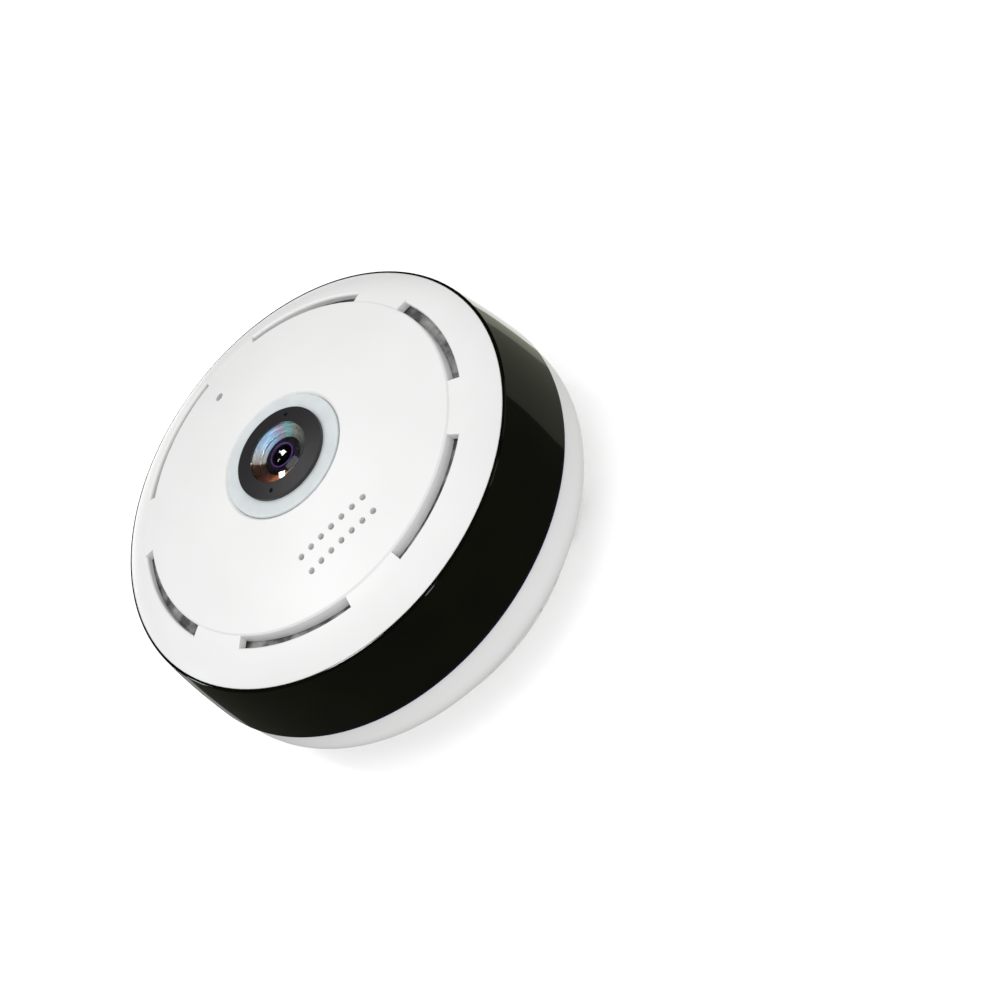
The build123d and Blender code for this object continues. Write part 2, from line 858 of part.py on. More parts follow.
# Lens barrel: wide flange with spanner holes, neck and threaded tail
barrel_bore = glass_radius + fit
neck_bore = barrel_radius - barrel_wall
tail_bore = thread_radius - thread_wall
tail_lip_radius = tail_bore - tail_lip
glass_seat_z = lens_lip_z - glass_edge - lens_seat_gap
with BuildPart() as lens_barrel:
    with BuildSketch(Plane.XZ):
        with BuildLine():
            Polyline(
                (barrel_bore, lens_lip_z),
                (lens_edge_radius, lens_edge_z),
                (lens_edge_radius, lens_flange_z),
                (barrel_radius, lens_flange_z),
                (barrel_radius, thread_top_z),
                (thread_radius, thread_top_z),
                (thread_radius, thread_z),
                (tail_lip_radius, thread_z),
                (tail_lip_radius, thread_z + tail_lip_height),
                (tail_bore, thread_z + tail_lip_height),
                (tail_bore, thread_top_z + barrel_wall),
                (neck_bore - lens_seat_gap, glass_seat_z - lens_seat_gap),
                (neck_bore - lens_seat_gap, glass_seat_z),
                (barrel_bore, glass_seat_z),
                close=True,
            )
        make_face()
    revolve(axis=Axis.Z)
    with PolarLocations(spanner_circle_radius, 2, start_angle=spanner_azimuth):
        with Locations((0, 0, lens_edge_z - spanner_hole_depth)):
            Cylinder(
                spanner_hole_radius,
                lens_cone_rise + spanner_hole_depth,
                align=CENTRED,
                mode=Mode.SUBTRACT,
            )
lens_barrel.part.label = "lens_barrel"

# Front glass: bulging outside, hollow inside
hollow_top_z = glass_seat_z + glass_hollow_depth
glass_top_z = lens_lip_z + glass_bulge
with BuildPart() as front_glass:
    with BuildSketch(Plane.XZ):
        with BuildLine():
            Polyline(
                (glass_hollow_radius, glass_seat_z),
                (glass_radius, glass_seat_z),
                (glass_radius, lens_lip_z),
            )
            TangentArc((0, glass_top_z), (glass_radius, lens_lip_z), tangent=(1, 0))
            Line((0, glass_top_z), (0, hollow_top_z))
            TangentArc((0, hollow_top_z), (glass_hollow_radius, glass_seat_z), tangent=(1, 0))
        make_face()
    revolve(axis=Axis.Z)
front_glass.part.label = "front_glass"

# Black stop under the front glass, with the middle and rear lenses and their spacer
element_radius = tail_bore - fit
rear_lens_z = thread_z + tail_lip_height
spacer_z = rear_lens_z + rear_lens_edge
middle_lens_z = thread_top_z - middle_lens_edge
aperture_z = glass_seat_z - lens_seat_gap


def dome_profile(bottom_z, edge, bulge):
    """Half section of a lens: a flat underside, and a bulge inside the shoulder for the spacer."""
    edge_z = bottom_z + edge
    top_z = edge_z + bulge
    dome_radius = element_radius - spacer_wall - fit
    with BuildSketch(Plane.XZ) as profile:
        with BuildLine():
            Polyline(
                (0, top_z),
                (0, bottom_z),
                (element_radius, bottom_z),
                (element_radius, edge_z),
                (dome_radius, edge_z),
            )
            TangentArc((0, top_z), (dome_radius, edge_z), tangent=(1, 0))
        make_face()
    return profile.sketch


aperture_rim_radius = neck_bore - lens_seat_gap - fit
aperture_top_z = aperture_z + aperture_thickness
with BuildPart() as aperture_ring:
    with BuildSketch(Plane.XZ):
        with BuildLine():
            Polyline(
                (aperture_radius, aperture_z),
                (aperture_rim_radius, aperture_z),
                (aperture_rim_radius, aperture_top_z + aperture_cone_rise),
                (aperture_cone_radius, aperture_top_z),
                (aperture_radius, aperture_top_z),
                close=True,
            )
        make_face()
    revolve(axis=Axis.Z)
aperture_ring.part.label = "aperture_ring"

with BuildPart() as middle_lens:
    add(dome_profile(middle_lens_z, middle_lens_edge, middle_lens_bulge))
    revolve(axis=Axis.Z)
middle_lens.part.label = "middle_lens"

with BuildPart() as rear_lens:
    add(dome_profile(rear_lens_z, rear_lens_edge, rear_lens_bulge))
    revolve(axis=Axis.Z)
rear_lens.part.label = "rear_lens"

with BuildPart() as lens_spacer:
    with BuildSketch(Plane.XY.offset(spacer_z)):
        Circle(element_radius)
        Circle(element_radius - spacer_wall, mode=Mode.SUBTRACT)
    extrude(amount=middle_lens_z - spacer_z)
lens_spacer.part.label = "lens_spacer"

with BuildPart() as lens_lock_ring:
    with BuildSketch(Plane.XY.offset(holder_top_z)):
        Circle(lock_ring_radius)
        Circle(thread_radius + fit, mode=Mode.SUBTRACT)
        with PolarLocations(lock_ring_radius, lock_ring_notches):
            Rectangle(lock_ring_notch, lock_ring_notch, mode=Mode.SUBTRACT)
    extrude(amount=lock_ring_height)
lens_lock_ring.part.label = "lens_lock_ring"

# Lens holder: a box on the camera board with the filter's slide, and the lens tube on top
slide_length = carrier_length + filter_travel + 2 * slide_margin
slide_width = carrier_width + 2 * slide_margin
with BuildPart() as lens_holder:
    with BuildSketch(Plane.XY.offset(camera_top_z)):
        SlotCenterToCenter(holder_ear_pitch, 2 * holder_ear_radius)
    extrude(amount=holder_ear_height)
    with Locations((0, 0, camera_top_z)):
        Box(holder_length, holder_width, holder_box_height, align=CENTRED)
    with Locations((0, 0, holder_box_z)):
        Cylinder(holder_tube_radius, holder_top_z - holder_box_z, align=CENTRED)
    with Locations((0, 0, camera_top_z)):
        Box(
            sensor_width + 2 * sensor_margin,
            sensor_depth + 2 * sensor_margin,
            slide_floor,
            align=CENTRED,
            mode=Mode.SUBTRACT,
        )
    with Locations((0, 0, slide_z)):
        Box(slide_length, slide_width, slide_height, align=CENTRED, mode=Mode.SUBTRACT)
    with Locations((0, slide_width / 2, slide_z)):
        Box(
            arm_width + filter_travel + 2 * slide_margin,
            holder_width,
            slide_height,
            align=(Align.CENTER, Align.MIN, Align.MIN),
            mode=Mode.SUBTRACT,
        )
    with Locations((0, 0, slide_top_z)):
        Cylinder(
            thread_radius + fit,
            holder_top_z - slide_top_z,
            align=CENTRED,
            mode=Mode.SUBTRACT,
        )
    with Locations((-holder_ear_pitch / 2, 0, camera_top_z), (holder_ear_pitch / 2, 0, camera_top_z)):
        Cylinder(
            board_screw_radius + fit / 2,
            holder_ear_height - fit,
            align=CENTRED,
            mode=Mode.SUBTRACT,
        )
lens_holder.part.label = "lens_holder"

# Filter slide: a carrier with an infrared-blocking pane and a clear pane, and its magnet
carrier_z = slide_z + (slide_height - carrier_height) / 2
carrier_x = -filter_travel / 2
pane_places = [(carrier_x - filter_travel / 2, 0), (carrier_x + filter_travel / 2, 0)]
pane_z = carrier_z + carrier_height - filter_thickness
with BuildPart() as filter_carrier:
    with Locations((carrier_x, 0, carrier_z)):
        Box(carrier_length, carrier_width, carrier_height, align=CENTRED)
    with Locations((carrier_x, carrier_width / 2, carrier_z)):
        Box(arm_width, arm_reach, carrier_height, align=(Align.CENTER, Align.MIN, Align.MIN))
    with BuildSketch(Plane.XY.offset(carrier_z)):
        with Locations(*pane_places):
            Rectangle(filter_length - 2 * filter_thickness, filter_width - 2 * filter_thickness)
    extrude(amount=carrier_height, mode=Mode.SUBTRACT)
    with BuildSketch(Plane.XY.offset(pane_z)):
        with Locations(*pane_places):
            Rectangle(filter_length, filter_width)
    extrude(amount=filter_thickness, mode=Mode.SUBTRACT)
filter_carrier.part.label = "filter_carrier"

with BuildPart() as infrared_filter:
    with Locations((*pane_places[1], pane_z)):
        Box(filter_length, filter_width, filter_thickness, align=CENTRED)
infrared_filter.part.label = "infrared_filter"

with BuildPart() as clear_filter:
    with Locations((*pane_places[0], pane_z)):
        Box(filter_length, filter_width, filter_thickness, align=CENTRED)
clear_filter.part.label = "clear_filter"

magnet_y = carrier_width / 2 + arm_reach
with BuildPart() as filter_magnet:
    with Locations((carrier_x, magnet_y, carrier_z + carrier_height / 2)):
        Box(magnet_side, magnet_side, magnet_side, align=(Align.CENTER, Align.MIN, Align.CENTER))
filter_magnet.part.label = "filter_magnet"

with BuildPart() as filter_coil:
    with BuildSketch(Plane.YZ.offset(-coil_length / 2)):
        with Locations((coil_offset, camera_top_z + coil_flange / 2)):
            Circle(coil_radius)
    extrude(amount=coil_length)
    with BuildSketch(
        Plane.YZ.offset(-coil_length / 2),
        Plane.YZ.offset(coil_length / 2 - coil_flange_thickness),
    ):
        with Locations((coil_offset, camera_top_z + coil_flange / 2)):
            Rectangle(coil_flange, coil_flange)
    extrude(amount=coil_flange_thickness)
filter_coil.part.label = "filter_coil"

# Camera board with its sensor, processor, radio and heat sink
camera_screw_places = [
    (side_x * camera_post_pitch / 2, side_y * camera_post_pitch / 2)
    for side_x in (-1, 1)
    for side_y in (-1, 1)
]
ear_screw_places = [(-holder_ear_pitch / 2, 0), (holder_ear_pitch / 2, 0)]
with BuildPart() as camera_board:
    with BuildSketch(Plane.XY.offset(camera_board_z)):
        RectangleRounded(camera_board_side, camera_board_side, board_corner)
        with Locations(*camera_screw_places, *ear_screw_places):
            Circle(board_screw_radius + fit, mode=Mode.SUBTRACT)
    extrude(amount=board_thickness)
camera_board.part.label = "camera_board"

with BuildPart() as image_sensor:
    with Locations((0, 0, camera_top_z)):
        Box(sensor_width, sensor_depth, sensor_height, align=CENTRED)
    with Locations((0, 0, camera_top_z + sensor_height)):
        Box(
            sensor_width - 2 * sensor_glass_margin,
            sensor_depth - 2 * sensor_glass_margin,
            sensor_glass_height,
            align=CENTRED,
        )
image_sensor.part.label = "image_sensor"

with BuildPart() as processor_chip:
    with Locations((0, 0, camera_board_z)):
        Box(chip_side, chip_side, chip_height, align=HANGING)
processor_chip.part.label = "processor_chip"

sink_z = camera_board_z - chip_height
fin_pitch = (sink_side - fin_thickness) / (fin_count - 1)
with BuildPart() as heat_sink:
    with Locations((0, 0, sink_z)):
        Box(sink_side, sink_side, sink_base, align=HANGING)
    with Locations((0, 0, sink_z - sink_base)):
        with GridLocations(fin_pitch, 0, fin_count, 1):
            Box(fin_thickness, sink_side, fin_height, align=HANGING)
heat_sink.part.label = "heat_sink"

with BuildPart() as radio_module:
    with Locations((0, -radio_offset, camera_top_z)):
        Box(radio_width, radio_depth, radio_height, align=CENTRED)
radio_module.part.label = "radio_module"

with BuildPart() as microphone_connector:
    with Locations((mic_connector_x, mic_connector_y, camera_top_z)):
        Box(mic_connector_width, mic_connector_length, mic_connector_height, align=CENTRED)
microphone_connector.part.label = "microphone_connector"

# Inner frame: a disc on the housing's spigot, with ledges for the infrared board
frame_slot = ring_sector(
    frame_slot_radius - frame_slot_width / 2,
    frame_slot_radius + frame_slot_width / 2,
    -frame_slot_span / 2,
    frame_slot_span,
)
with BuildPart() as inner_frame:
    with BuildSketch(Plane.XY.offset(spigot_z)):
        Circle(frame_radius)
        Circle(frame_window_radius, mode=Mode.SUBTRACT)
        with PolarLocations(0, boss_count, start_angle=boss_azimuth + 180 / boss_count):
            add(frame_slot, mode=Mode.SUBTRACT)
        with PolarLocations(boss_circle_radius, boss_count, start_angle=boss_azimuth):
            Circle(screw_radius + screw_clearance, mode=Mode.SUBTRACT)
    extrude(amount=frame_floor)
    with BuildSketch(Plane.XY.offset(frame_z)):
        Circle(ir_board_outer_radius)
        Circle(ir_board_outer_radius - ledge_width, mode=Mode.SUBTRACT)
        Circle(ir_board_inner_radius + ledge_width)
        Circle(ir_board_inner_radius, mode=Mode.SUBTRACT)
    extrude(amount=ledge_height)
    with BuildSketch(Plane.XY.offset(frame_z)):
        with Locations(*camera_screw_places):
            Circle(camera_post_radius)
            Circle(board_screw_radius + fit / 2, mode=Mode.SUBTRACT)
    extrude(amount=camera_post_height)
inner_frame.part.label = "inner_frame"

# Infrared board with lamps that face the band, and a light sensor between two of them
ir_board_z = frame_z + ledge_height
ir_top_z = ir_board_z + ir_board_thickness
with BuildPart() as infrared_board:
    with BuildSketch(Plane.XY.offset(ir_board_z)):
        Circle(ir_board_outer_radius)
        Circle(ir_board_inner_radius, mode=Mode.SUBTRACT)
    extrude(amount=ir_board_thickness)
infrared_board.part.label = "infrared_board"

with BuildPart() as infrared_lamps:
    with PolarLocations(ir_lamp_circle_radius, ir_lamp_count, start_angle=ir_lamp_azimuth):
        with Locations((0, 0, ir_top_z)):
            Box(ir_lamp_depth, ir_lamp_width, ir_lamp_height, align=CENTRED)
        with Locations((ir_lamp_depth / 2, 0, ir_top_z + ir_lamp_height / 2)):
            Sphere(ir_lamp_lens_radius)
infrared_lamps.part.label = "infrared_lamps"

with BuildPart() as light_sensor:
    with PolarLocations(ir_lamp_circle_radius, 1, start_angle=sensor_tube_azimuth):
        with Locations((0, 0, ir_top_z)):
            Box(
                sensor_tube_length,
                2 * sensor_tube_radius,
                sensor_tube_radius,
                align=CENTRED,
            )
        with Locations(Location((0, 0, ir_top_z + sensor_tube_radius), (0, 90, 0))):
            Cylinder(sensor_tube_radius, sensor_tube_length)
light_sensor.part.label = "light_sensor"

# Speaker: frame, cone, magnet and gasket, placed by the camera's radius
speaker_plane = Plane(
    origin=(*polar(speaker_radius, speaker_azimuth), speaker_z),
    x_dir=(*polar(1, speaker_azimuth), 0),
    z_dir=(0, 0, 1),
)
cone_z = speaker_frame_height - cone_sink
cone_width = speaker_width - 2 * speaker_frame_wall
cone_length = speaker_length - 2 * speaker_frame_wall
with BuildPart() as speaker_frame:
    with BuildSketch(speaker_plane):
        RectangleRounded(speaker_width, speaker_length, speaker_rounding)
    extrude(amount=speaker_frame_height)
    with BuildSketch(speaker_plane.offset(cone_z)):
        RectangleRounded(cone_width, cone_length, speaker_rounding)
    extrude(amount=cone_sink, mode=Mode.SUBTRACT)
    with BuildSketch(speaker_plane.offset(speaker_floor)):
        RectangleRounded(cone_width - 2 * cone_lip, cone_length - 2 * cone_lip, speaker_rounding)
    extrude(amount=cone_z - speaker_floor, mode=Mode.SUBTRACT)
speaker_frame.part.label = "speaker_frame"

with BuildPart() as speaker_cone:
    with BuildSketch(speaker_plane.offset(cone_z)):
        RectangleRounded(cone_width - 2 * fit, cone_length - 2 * fit, speaker_rounding)
    extrude(amount=cone_thickness)
    with BuildSketch(speaker_plane.offset(cone_z + cone_thickness)):
        Circle(cone_cap_radius)
    extrude(amount=cone_cap_rise)
speaker_cone.part.label = "speaker_cone"

with BuildPart() as speaker_magnet:
    with BuildSketch(speaker_plane.offset(speaker_floor)):
        Circle(speaker_magnet_radius)
    extrude(amount=speaker_magnet_height)
speaker_magnet.part.label = "speaker_magnet"

with BuildPart() as speaker_gasket:
    with BuildSketch(speaker_plane.offset(speaker_frame_height)):
        RectangleRounded(speaker_width, speaker_length, speaker_rounding)
        RectangleRounded(cone_width, cone_length, speaker_rounding, mode=Mode.SUBTRACT)
    extrude(amount=gasket_thickness)
speaker_gasket.part.label = "speaker_gasket"

# Microphone capsule in its rubber boot
mic_x, mic_y = polar(mic_radius, mic_azimuth)
with BuildPart() as microphone_boot:
    with BuildSketch(Plane.XY.offset(mic_boot_z)):
        with Locations((mic_x, mic_y)):
            Circle(mic_boot_radius)
            Circle(mic_hole_radius, mode=Mode.SUBTRACT)
    extrude(amount=mic_boot_height)
    with BuildSketch(Plane.XY.offset(mic_boot_z)):
        with Locations((mic_x, mic_y)):
            Circle(mic_capsule_radius + fit)
    extrude(amount=mic_capsule_height, mode=Mode.SUBTRACT)
microphone_boot.part.label = "microphone_boot"

with BuildPart() as microphone:
    with Locations((mic_x, mic_y, mic_boot_z)):
        Cylinder(mic_capsule_radius, mic_capsule_height, align=CENTRED)
microphone.part.label = "microphone"

# Base board with the power socket, the card socket and the reset switch
base_board_depth = base_board_front + base_board_back
with BuildPart() as base_board:
    with BuildSketch(Plane.XY.offset(base_board_z)):
        with Locations((0, (base_board_back - base_board_front) / 2)):
            RectangleRounded(base_board_width, base_board_depth, board_corner)
        with Locations(*base_post_places):
            Circle(board_screw_radius + fit, mode=Mode.SUBTRACT)
    extrude(amount=board_thickness)
base_board.part.label = "base_board"

socket_front = shroud_back + socket_reach
with BuildPart() as power_socket:
    with BuildSketch(Plane.XZ.offset(socket_front)):
        with Locations((0, base_board_z - socket_height / 2)):
            RectangleRounded(socket_width, socket_height, socket_wall)
    extrude(amount=-socket_depth)
    with BuildSketch(Plane.XZ.offset(socket_front)):
        with Locations((0, base_board_z - socket_height / 2)):
            Rectangle(socket_width - 2 * socket_wall, socket_height - 2 * socket_wall)
    extrude(amount=-socket_depth + socket_wall, mode=Mode.SUBTRACT)
power_socket.part.label = "power_socket"

with BuildPart() as power_socket_tongue:
    with Locations((0, socket_depth - socket_front - socket_wall, base_board_z - socket_height / 2)):
        Box(
            tongue_width,
            socket_depth - 2 * socket_wall,
            tongue_height,
            align=(Align.CENTER, Align.MAX, Align.CENTER),
        )
power_socket_tongue.part.label = "power_socket_tongue"

with BuildPart() as card_socket:
    with Locations((0, -base_board_front, base_board_top_z)):
        Box(
            card_socket_width,
            card_socket_depth,
            card_socket_height,
            align=(Align.CENTER, Align.MIN, Align.MIN),
        )
    with Locations((0, -base_board_front, base_board_top_z + card_lift)):
        Box(
            card_width,
            card_socket_depth - card_lift,
            card_height - card_lift,
            align=(Align.CENTER, Align.MIN, Align.MIN),
            mode=Mode.SUBTRACT,
        )
card_socket.part.label = "card_socket"

switch_z = base_board_z - switch_height
plunger_z = switch_z - plunger_stand
with BuildPart() as reset_switch:
    with Locations((button_x, button_y, switch_z)):
        Box(switch_side, switch_side, switch_height, align=CENTRED)
        Cylinder(
            plunger_radius + running,
            plunger_length - plunger_stand + button_travel + running,
            align=CENTRED,
            mode=Mode.SUBTRACT,
        )
reset_switch.part.label = "reset_switch"

with BuildPart() as reset_plunger:
    with Locations((button_x, button_y, plunger_z)):
        Cylinder(plunger_radius, plunger_length, align=CENTRED)
reset_plunger.part.label = "reset_plunger"

with BuildPart() as reset_button:
    with Locations((button_x, button_y, base_z + button_recess)):
        Cylinder(button_radius, plunger_z - base_z - button_recess, align=CENTRED)
    with Locations((button_x, button_y, floor_z + running)):
        Cylinder(button_flange_radius, button_flange_thickness, align=CENTRED)
reset_button.part.label = "reset_button"

with BuildPart() as capacitors:
    with Locations((capacitor_x, capacitor_y, base_board_top_z)):
        with GridLocations(0, capacitor_pitch, 1, 2):
            Cylinder(capacitor_radius, capacitor_height, align=CENTRED)
capacitors.part.label = "capacitors"

with BuildPart() as power_coil:
    with Locations((coil_block_x, coil_block_y, base_board_top_z)):
        Box(coil_block_side, coil_block_side, coil_block_height, align=CENTRED)
power_coil.part.label = "power_coil"

with BuildPart() as ribbon_connectors:
    with Locations((0, ribbon_y, base_board_top_z)):
        Box(connector_length, connector_width, connector_height, align=CENTRED)
    with Locations((0, ribbon_y, camera_board_z)):
        Box(connector_length, connector_width, connector_height, align=HANGING)
ribbon_connectors.part.label = "ribbon_connectors"

with BuildPart() as wire_connector:
    with Locations((wire_connector_x, wire_connector_y, base_board_top_z)):
        Box(wire_connector_width, wire_connector_length, wire_connector_height, align=CENTRED)
wire_connector.part.label = "wire_connector"

# Ribbon between the boards, with one slack bend
ribbon_start_z = base_board_top_z + connector_height
ribbon_end_z = camera_board_z - connector_height
ribbon_quarter = (ribbon_end_z - ribbon_start_z) / 4
with BuildPart() as ribbon_cable:
    with BuildLine(Plane.YZ):
        FilletPolyline(
            (ribbon_y, ribbon_start_z),
            (ribbon_y, ribbon_start_z + ribbon_quarter),
            (ribbon_y - wire_bend, (ribbon_start_z + ribbon_end_z) / 2),
            (ribbon_y, ribbon_end_z - ribbon_quarter),
            (ribbon_y, ribbon_end_z),
            radius=wire_bend,
        )
    with BuildSketch(Plane.XY.offset(ribbon_start_z)):
        with Locations((0, ribbon_y)):
            Rectangle(ribbon_width, ribbon_thickness)
    sweep()
ribbon_cable.part.label = "ribbon_cable"


def wire_pair(points, across):
    """Two round wires side by side along a route, which starts straight down."""
    with BuildPart() as pair:
        for side in (-1, 1):
            shift = Vector(*across) * side * wire_pitch / 2
            route = [Vector(*point) + shift for point in points]
            with BuildLine():
                FilletPolyline(*route, radius=wire_bend)
            with BuildSketch(Plane(origin=route[0], z_dir=route[1] - route[0])):
                Circle(wire_radius)
            sweep()
    return pair.part


drop_x, drop_y = polar(speaker_wire_radius, speaker_wire_azimuth)
wire_z = base_board_top_z + wire_rise
connector_face_y = wire_connector_y - wire_connector_length / 2
speaker_wires = wire_pair(
    [
        (drop_x, drop_y, speaker_z),
        (drop_x, drop_y, wire_z),
        (wire_connector_x, connector_face_y, wire_z),
    ],
    (1, 0, 0),
)
speaker_wires.label = "speaker_wires"

mic_wire_z = camera_top_z + mic_connector_height / 2
mic_connector_face_x = mic_connector_x + mic_connector_width / 2
microphone_wires = wire_pair(
    [
        (mic_x, mic_y, mic_boot_z),
        (mic_x, mic_y, mic_wire_z),
        (mic_connector_face_x + wire_radius, mic_connector_y, mic_wire_z),
    ],
    (0, 1, 0),
)
microphone_wires.label = "microphone_wires"

# Radio antenna, a strip stuck inside the cover's skirt, and its cable
antenna_radius = skirt_inner_radius - fit
antenna_z = cover_z - skirt_depth + antenna_thickness
with BuildPart() as radio_antenna:
    with BuildSketch(Plane.XY.offset(antenna_z)):
        add(
            ring_sector(
                antenna_radius - antenna_thickness,
                antenna_radius,
                antenna_azimuth - antenna_span / 2,
                antenna_span,
            )
        )
    extrude(amount=antenna_height)
radio_antenna.part.label = "radio_antenna"

antenna_cable_z = antenna_z + antenna_height / 2
antenna_cable_start = antenna_radius - antenna_thickness - fit
with BuildPart() as antenna_cable:
    with BuildLine():
        FilletPolyline(
            (0, -antenna_cable_start, antenna_cable_z),
            (0, -radio_offset, antenna_cable_z),
            (0, -radio_offset, camera_top_z + radio_height),
            radius=wire_bend,
        )
    with BuildSketch(Plane.XZ.offset(antenna_cable_start)):
        with Locations((0, antenna_cable_z)):
            Circle(wire_radius)
    sweep()
antenna_cable.part.label = "antenna_cable"

# Screws
with BuildPart() as housing_screws:
    with PolarLocations(boss_circle_radius, boss_count, start_angle=boss_azimuth):
        with Locations((0, 0, screw_seat_z)):
            Cylinder(screw_head_radius, screw_head_height, align=HANGING)
            Cylinder(screw_radius, frame_z + screw_bite - screw_seat_z, align=CENTRED)
        with Locations((0, 0, screw_seat_z - screw_head_height)):
            Cylinder(
                screw_drive_radius, screw_drive_depth, align=CENTRED, mode=Mode.SUBTRACT
            )
housing_screws.part.label = "housing_screws"


def board_screws(places, seat_z, up, bite):
    """Small screws through a board: heads on the seat, shanks away from it."""
    head_align, shank_align = (CENTRED, HANGING) if up else (HANGING, CENTRED)
    with BuildPart() as group:
        with Locations(*[(x, y, seat_z) for x, y in places]):
            Cylinder(board_screw_head_radius, board_screw_head_height, align=head_align)
            Cylinder(board_screw_radius, board_thickness + bite, align=shank_align)
    return group.part


camera_board_screws = board_screws(camera_screw_places, camera_top_z, True, board_screw_bite)
camera_board_screws.label = "camera_board_screws"
base_board_screws = board_screws(base_post_places, base_board_top_z, True, board_screw_bite)
base_board_screws.label = "base_board_screws"
lens_holder_screws = board_screws(
    ear_screw_places, camera_board_z, False, ear_screw_bite
)
lens_holder_screws.label = "lens_holder_screws"

built = [
    mounting_plate, lower_housing, side_band, top_cover, status_light_ring,
    status_light_board, status_lights, dust_screen, lens_barrel, front_glass,
    aperture_ring, middle_lens, rear_lens, lens_spacer, lens_lock_ring, lens_holder,
    filter_carrier, infrared_filter, clear_filter, filter_magnet, filter_coil,
    camera_board, image_sensor, processor_chip, heat_sink, radio_module,
    microphone_connector, inner_frame, infrared_board, infrared_lamps, light_sensor,
    speaker_frame, speaker_cone, speaker_magnet, speaker_gasket, microphone_boot,
    microphone, base_board, power_socket, power_socket_tongue, card_socket,
    reset_switch, reset_plunger, reset_button, capacitors, power_coil,
    ribbon_connectors, wire_connector, ribbon_cable, radio_antenna, antenna_cable,
    housing_screws,
]
loose = [
    speaker_wires, microphone_wires, camera_board_screws, base_board_screws,
    lens_holder_screws,
]
for piece in [builder.part for builder in built] + loose:
    export_step(piece, f"parts/{piece.label}.step")
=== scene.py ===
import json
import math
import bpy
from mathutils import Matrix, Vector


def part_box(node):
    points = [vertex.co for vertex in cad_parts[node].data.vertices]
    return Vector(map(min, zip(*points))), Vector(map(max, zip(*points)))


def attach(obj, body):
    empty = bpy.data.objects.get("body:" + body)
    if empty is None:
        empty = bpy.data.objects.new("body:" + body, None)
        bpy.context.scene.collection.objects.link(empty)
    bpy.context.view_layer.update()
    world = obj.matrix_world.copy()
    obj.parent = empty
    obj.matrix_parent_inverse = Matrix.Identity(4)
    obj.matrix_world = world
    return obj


bl_info = {
    "name": "Ceiling Camera Dressing",
    "version": (1, 0, 0),
    "blender": (4, 5, 0),
    "location": "View3D > Sidebar > Ceiling Camera",
    "description": "Finishes, small parts and studio for a ceiling camera with a fisheye lens",
    "category": "Object",
}

import bmesh
import bpy
from bpy.props import FloatProperty, FloatVectorProperty, PointerProperty
from mathutils import Matrix, Vector

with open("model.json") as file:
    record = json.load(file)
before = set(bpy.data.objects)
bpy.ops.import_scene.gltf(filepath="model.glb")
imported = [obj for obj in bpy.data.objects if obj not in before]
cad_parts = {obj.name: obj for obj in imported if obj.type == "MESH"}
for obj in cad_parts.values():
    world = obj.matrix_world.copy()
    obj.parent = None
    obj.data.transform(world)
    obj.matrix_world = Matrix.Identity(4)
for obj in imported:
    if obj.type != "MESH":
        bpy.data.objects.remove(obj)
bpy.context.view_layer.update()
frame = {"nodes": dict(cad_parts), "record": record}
nodes = frame["nodes"]
slot_of = {row["node"]: row["material_slot"] for row in frame["record"]["subparts"]}

HEAD = "camera_head"
MM = 0.001


# Sizes and colours that a user would change


class ShellLook(bpy.types.PropertyGroup):
    """Finish of the white mouldings and of the dark side band."""

    white: FloatVectorProperty(
        name="White", description="Colour of the white mouldings",
        subtype="COLOR", size=4, min=0, max=1, default=(0.79, 0.79, 0.785, 1),
    )
    white_roughness: FloatProperty(
        name="White roughness", description="Roughness of the white mouldings",
        subtype="FACTOR", min=0, max=1, default=0.38,
    )
    grain: FloatProperty(
        name="Grain", description="Width of one dimple of the moulded grain",
        subtype="DISTANCE", unit="LENGTH", min=0.05 * MM, default=0.35 * MM,
    )
    soft_edge: FloatProperty(
        name="Soft edge", description="Radius of the moulded edges",
        subtype="DISTANCE", unit="LENGTH", min=0, default=0.22 * MM,
    )
    band: FloatVectorProperty(
        name="Band", description="Colour of the dark side band",
        subtype="COLOR", size=4, min=0, max=1, default=(0.0022, 0.0024, 0.0012, 1),
    )
    band_roughness: FloatProperty(
        name="Band roughness", description="Roughness of the side band",
        subtype="FACTOR", min=0, max=1, default=0.07,
    )


class LensLook(bpy.types.PropertyGroup):
    """Cone and violet edge behind the front glass, which carry painted reflections."""

    # The step is a thin cone that carries a painted reflection of the surroundings and glows
    step_outer: FloatProperty(
        name="Step outer radius", description="Outer radius of the coated step",
        subtype="DISTANCE", unit="LENGTH", min=1 * MM, default=7.52 * MM,
    )
    step_inner: FloatProperty(
        name="Step inner radius", description="Inner radius of the coated step",
        subtype="DISTANCE", unit="LENGTH", min=1 * MM, default=4.92 * MM,
    )
    edge_radius: FloatProperty(
        name="Edge radius", description="Radius of the violet edge round the stop",
        subtype="DISTANCE", unit="LENGTH", min=0.5 * MM, default=3.02 * MM,
    )
    edge_thickness: FloatProperty(
        name="Edge thickness", description="Thickness of the violet edge",
        subtype="DISTANCE", unit="LENGTH", min=0.02 * MM, default=0.26 * MM,
    )


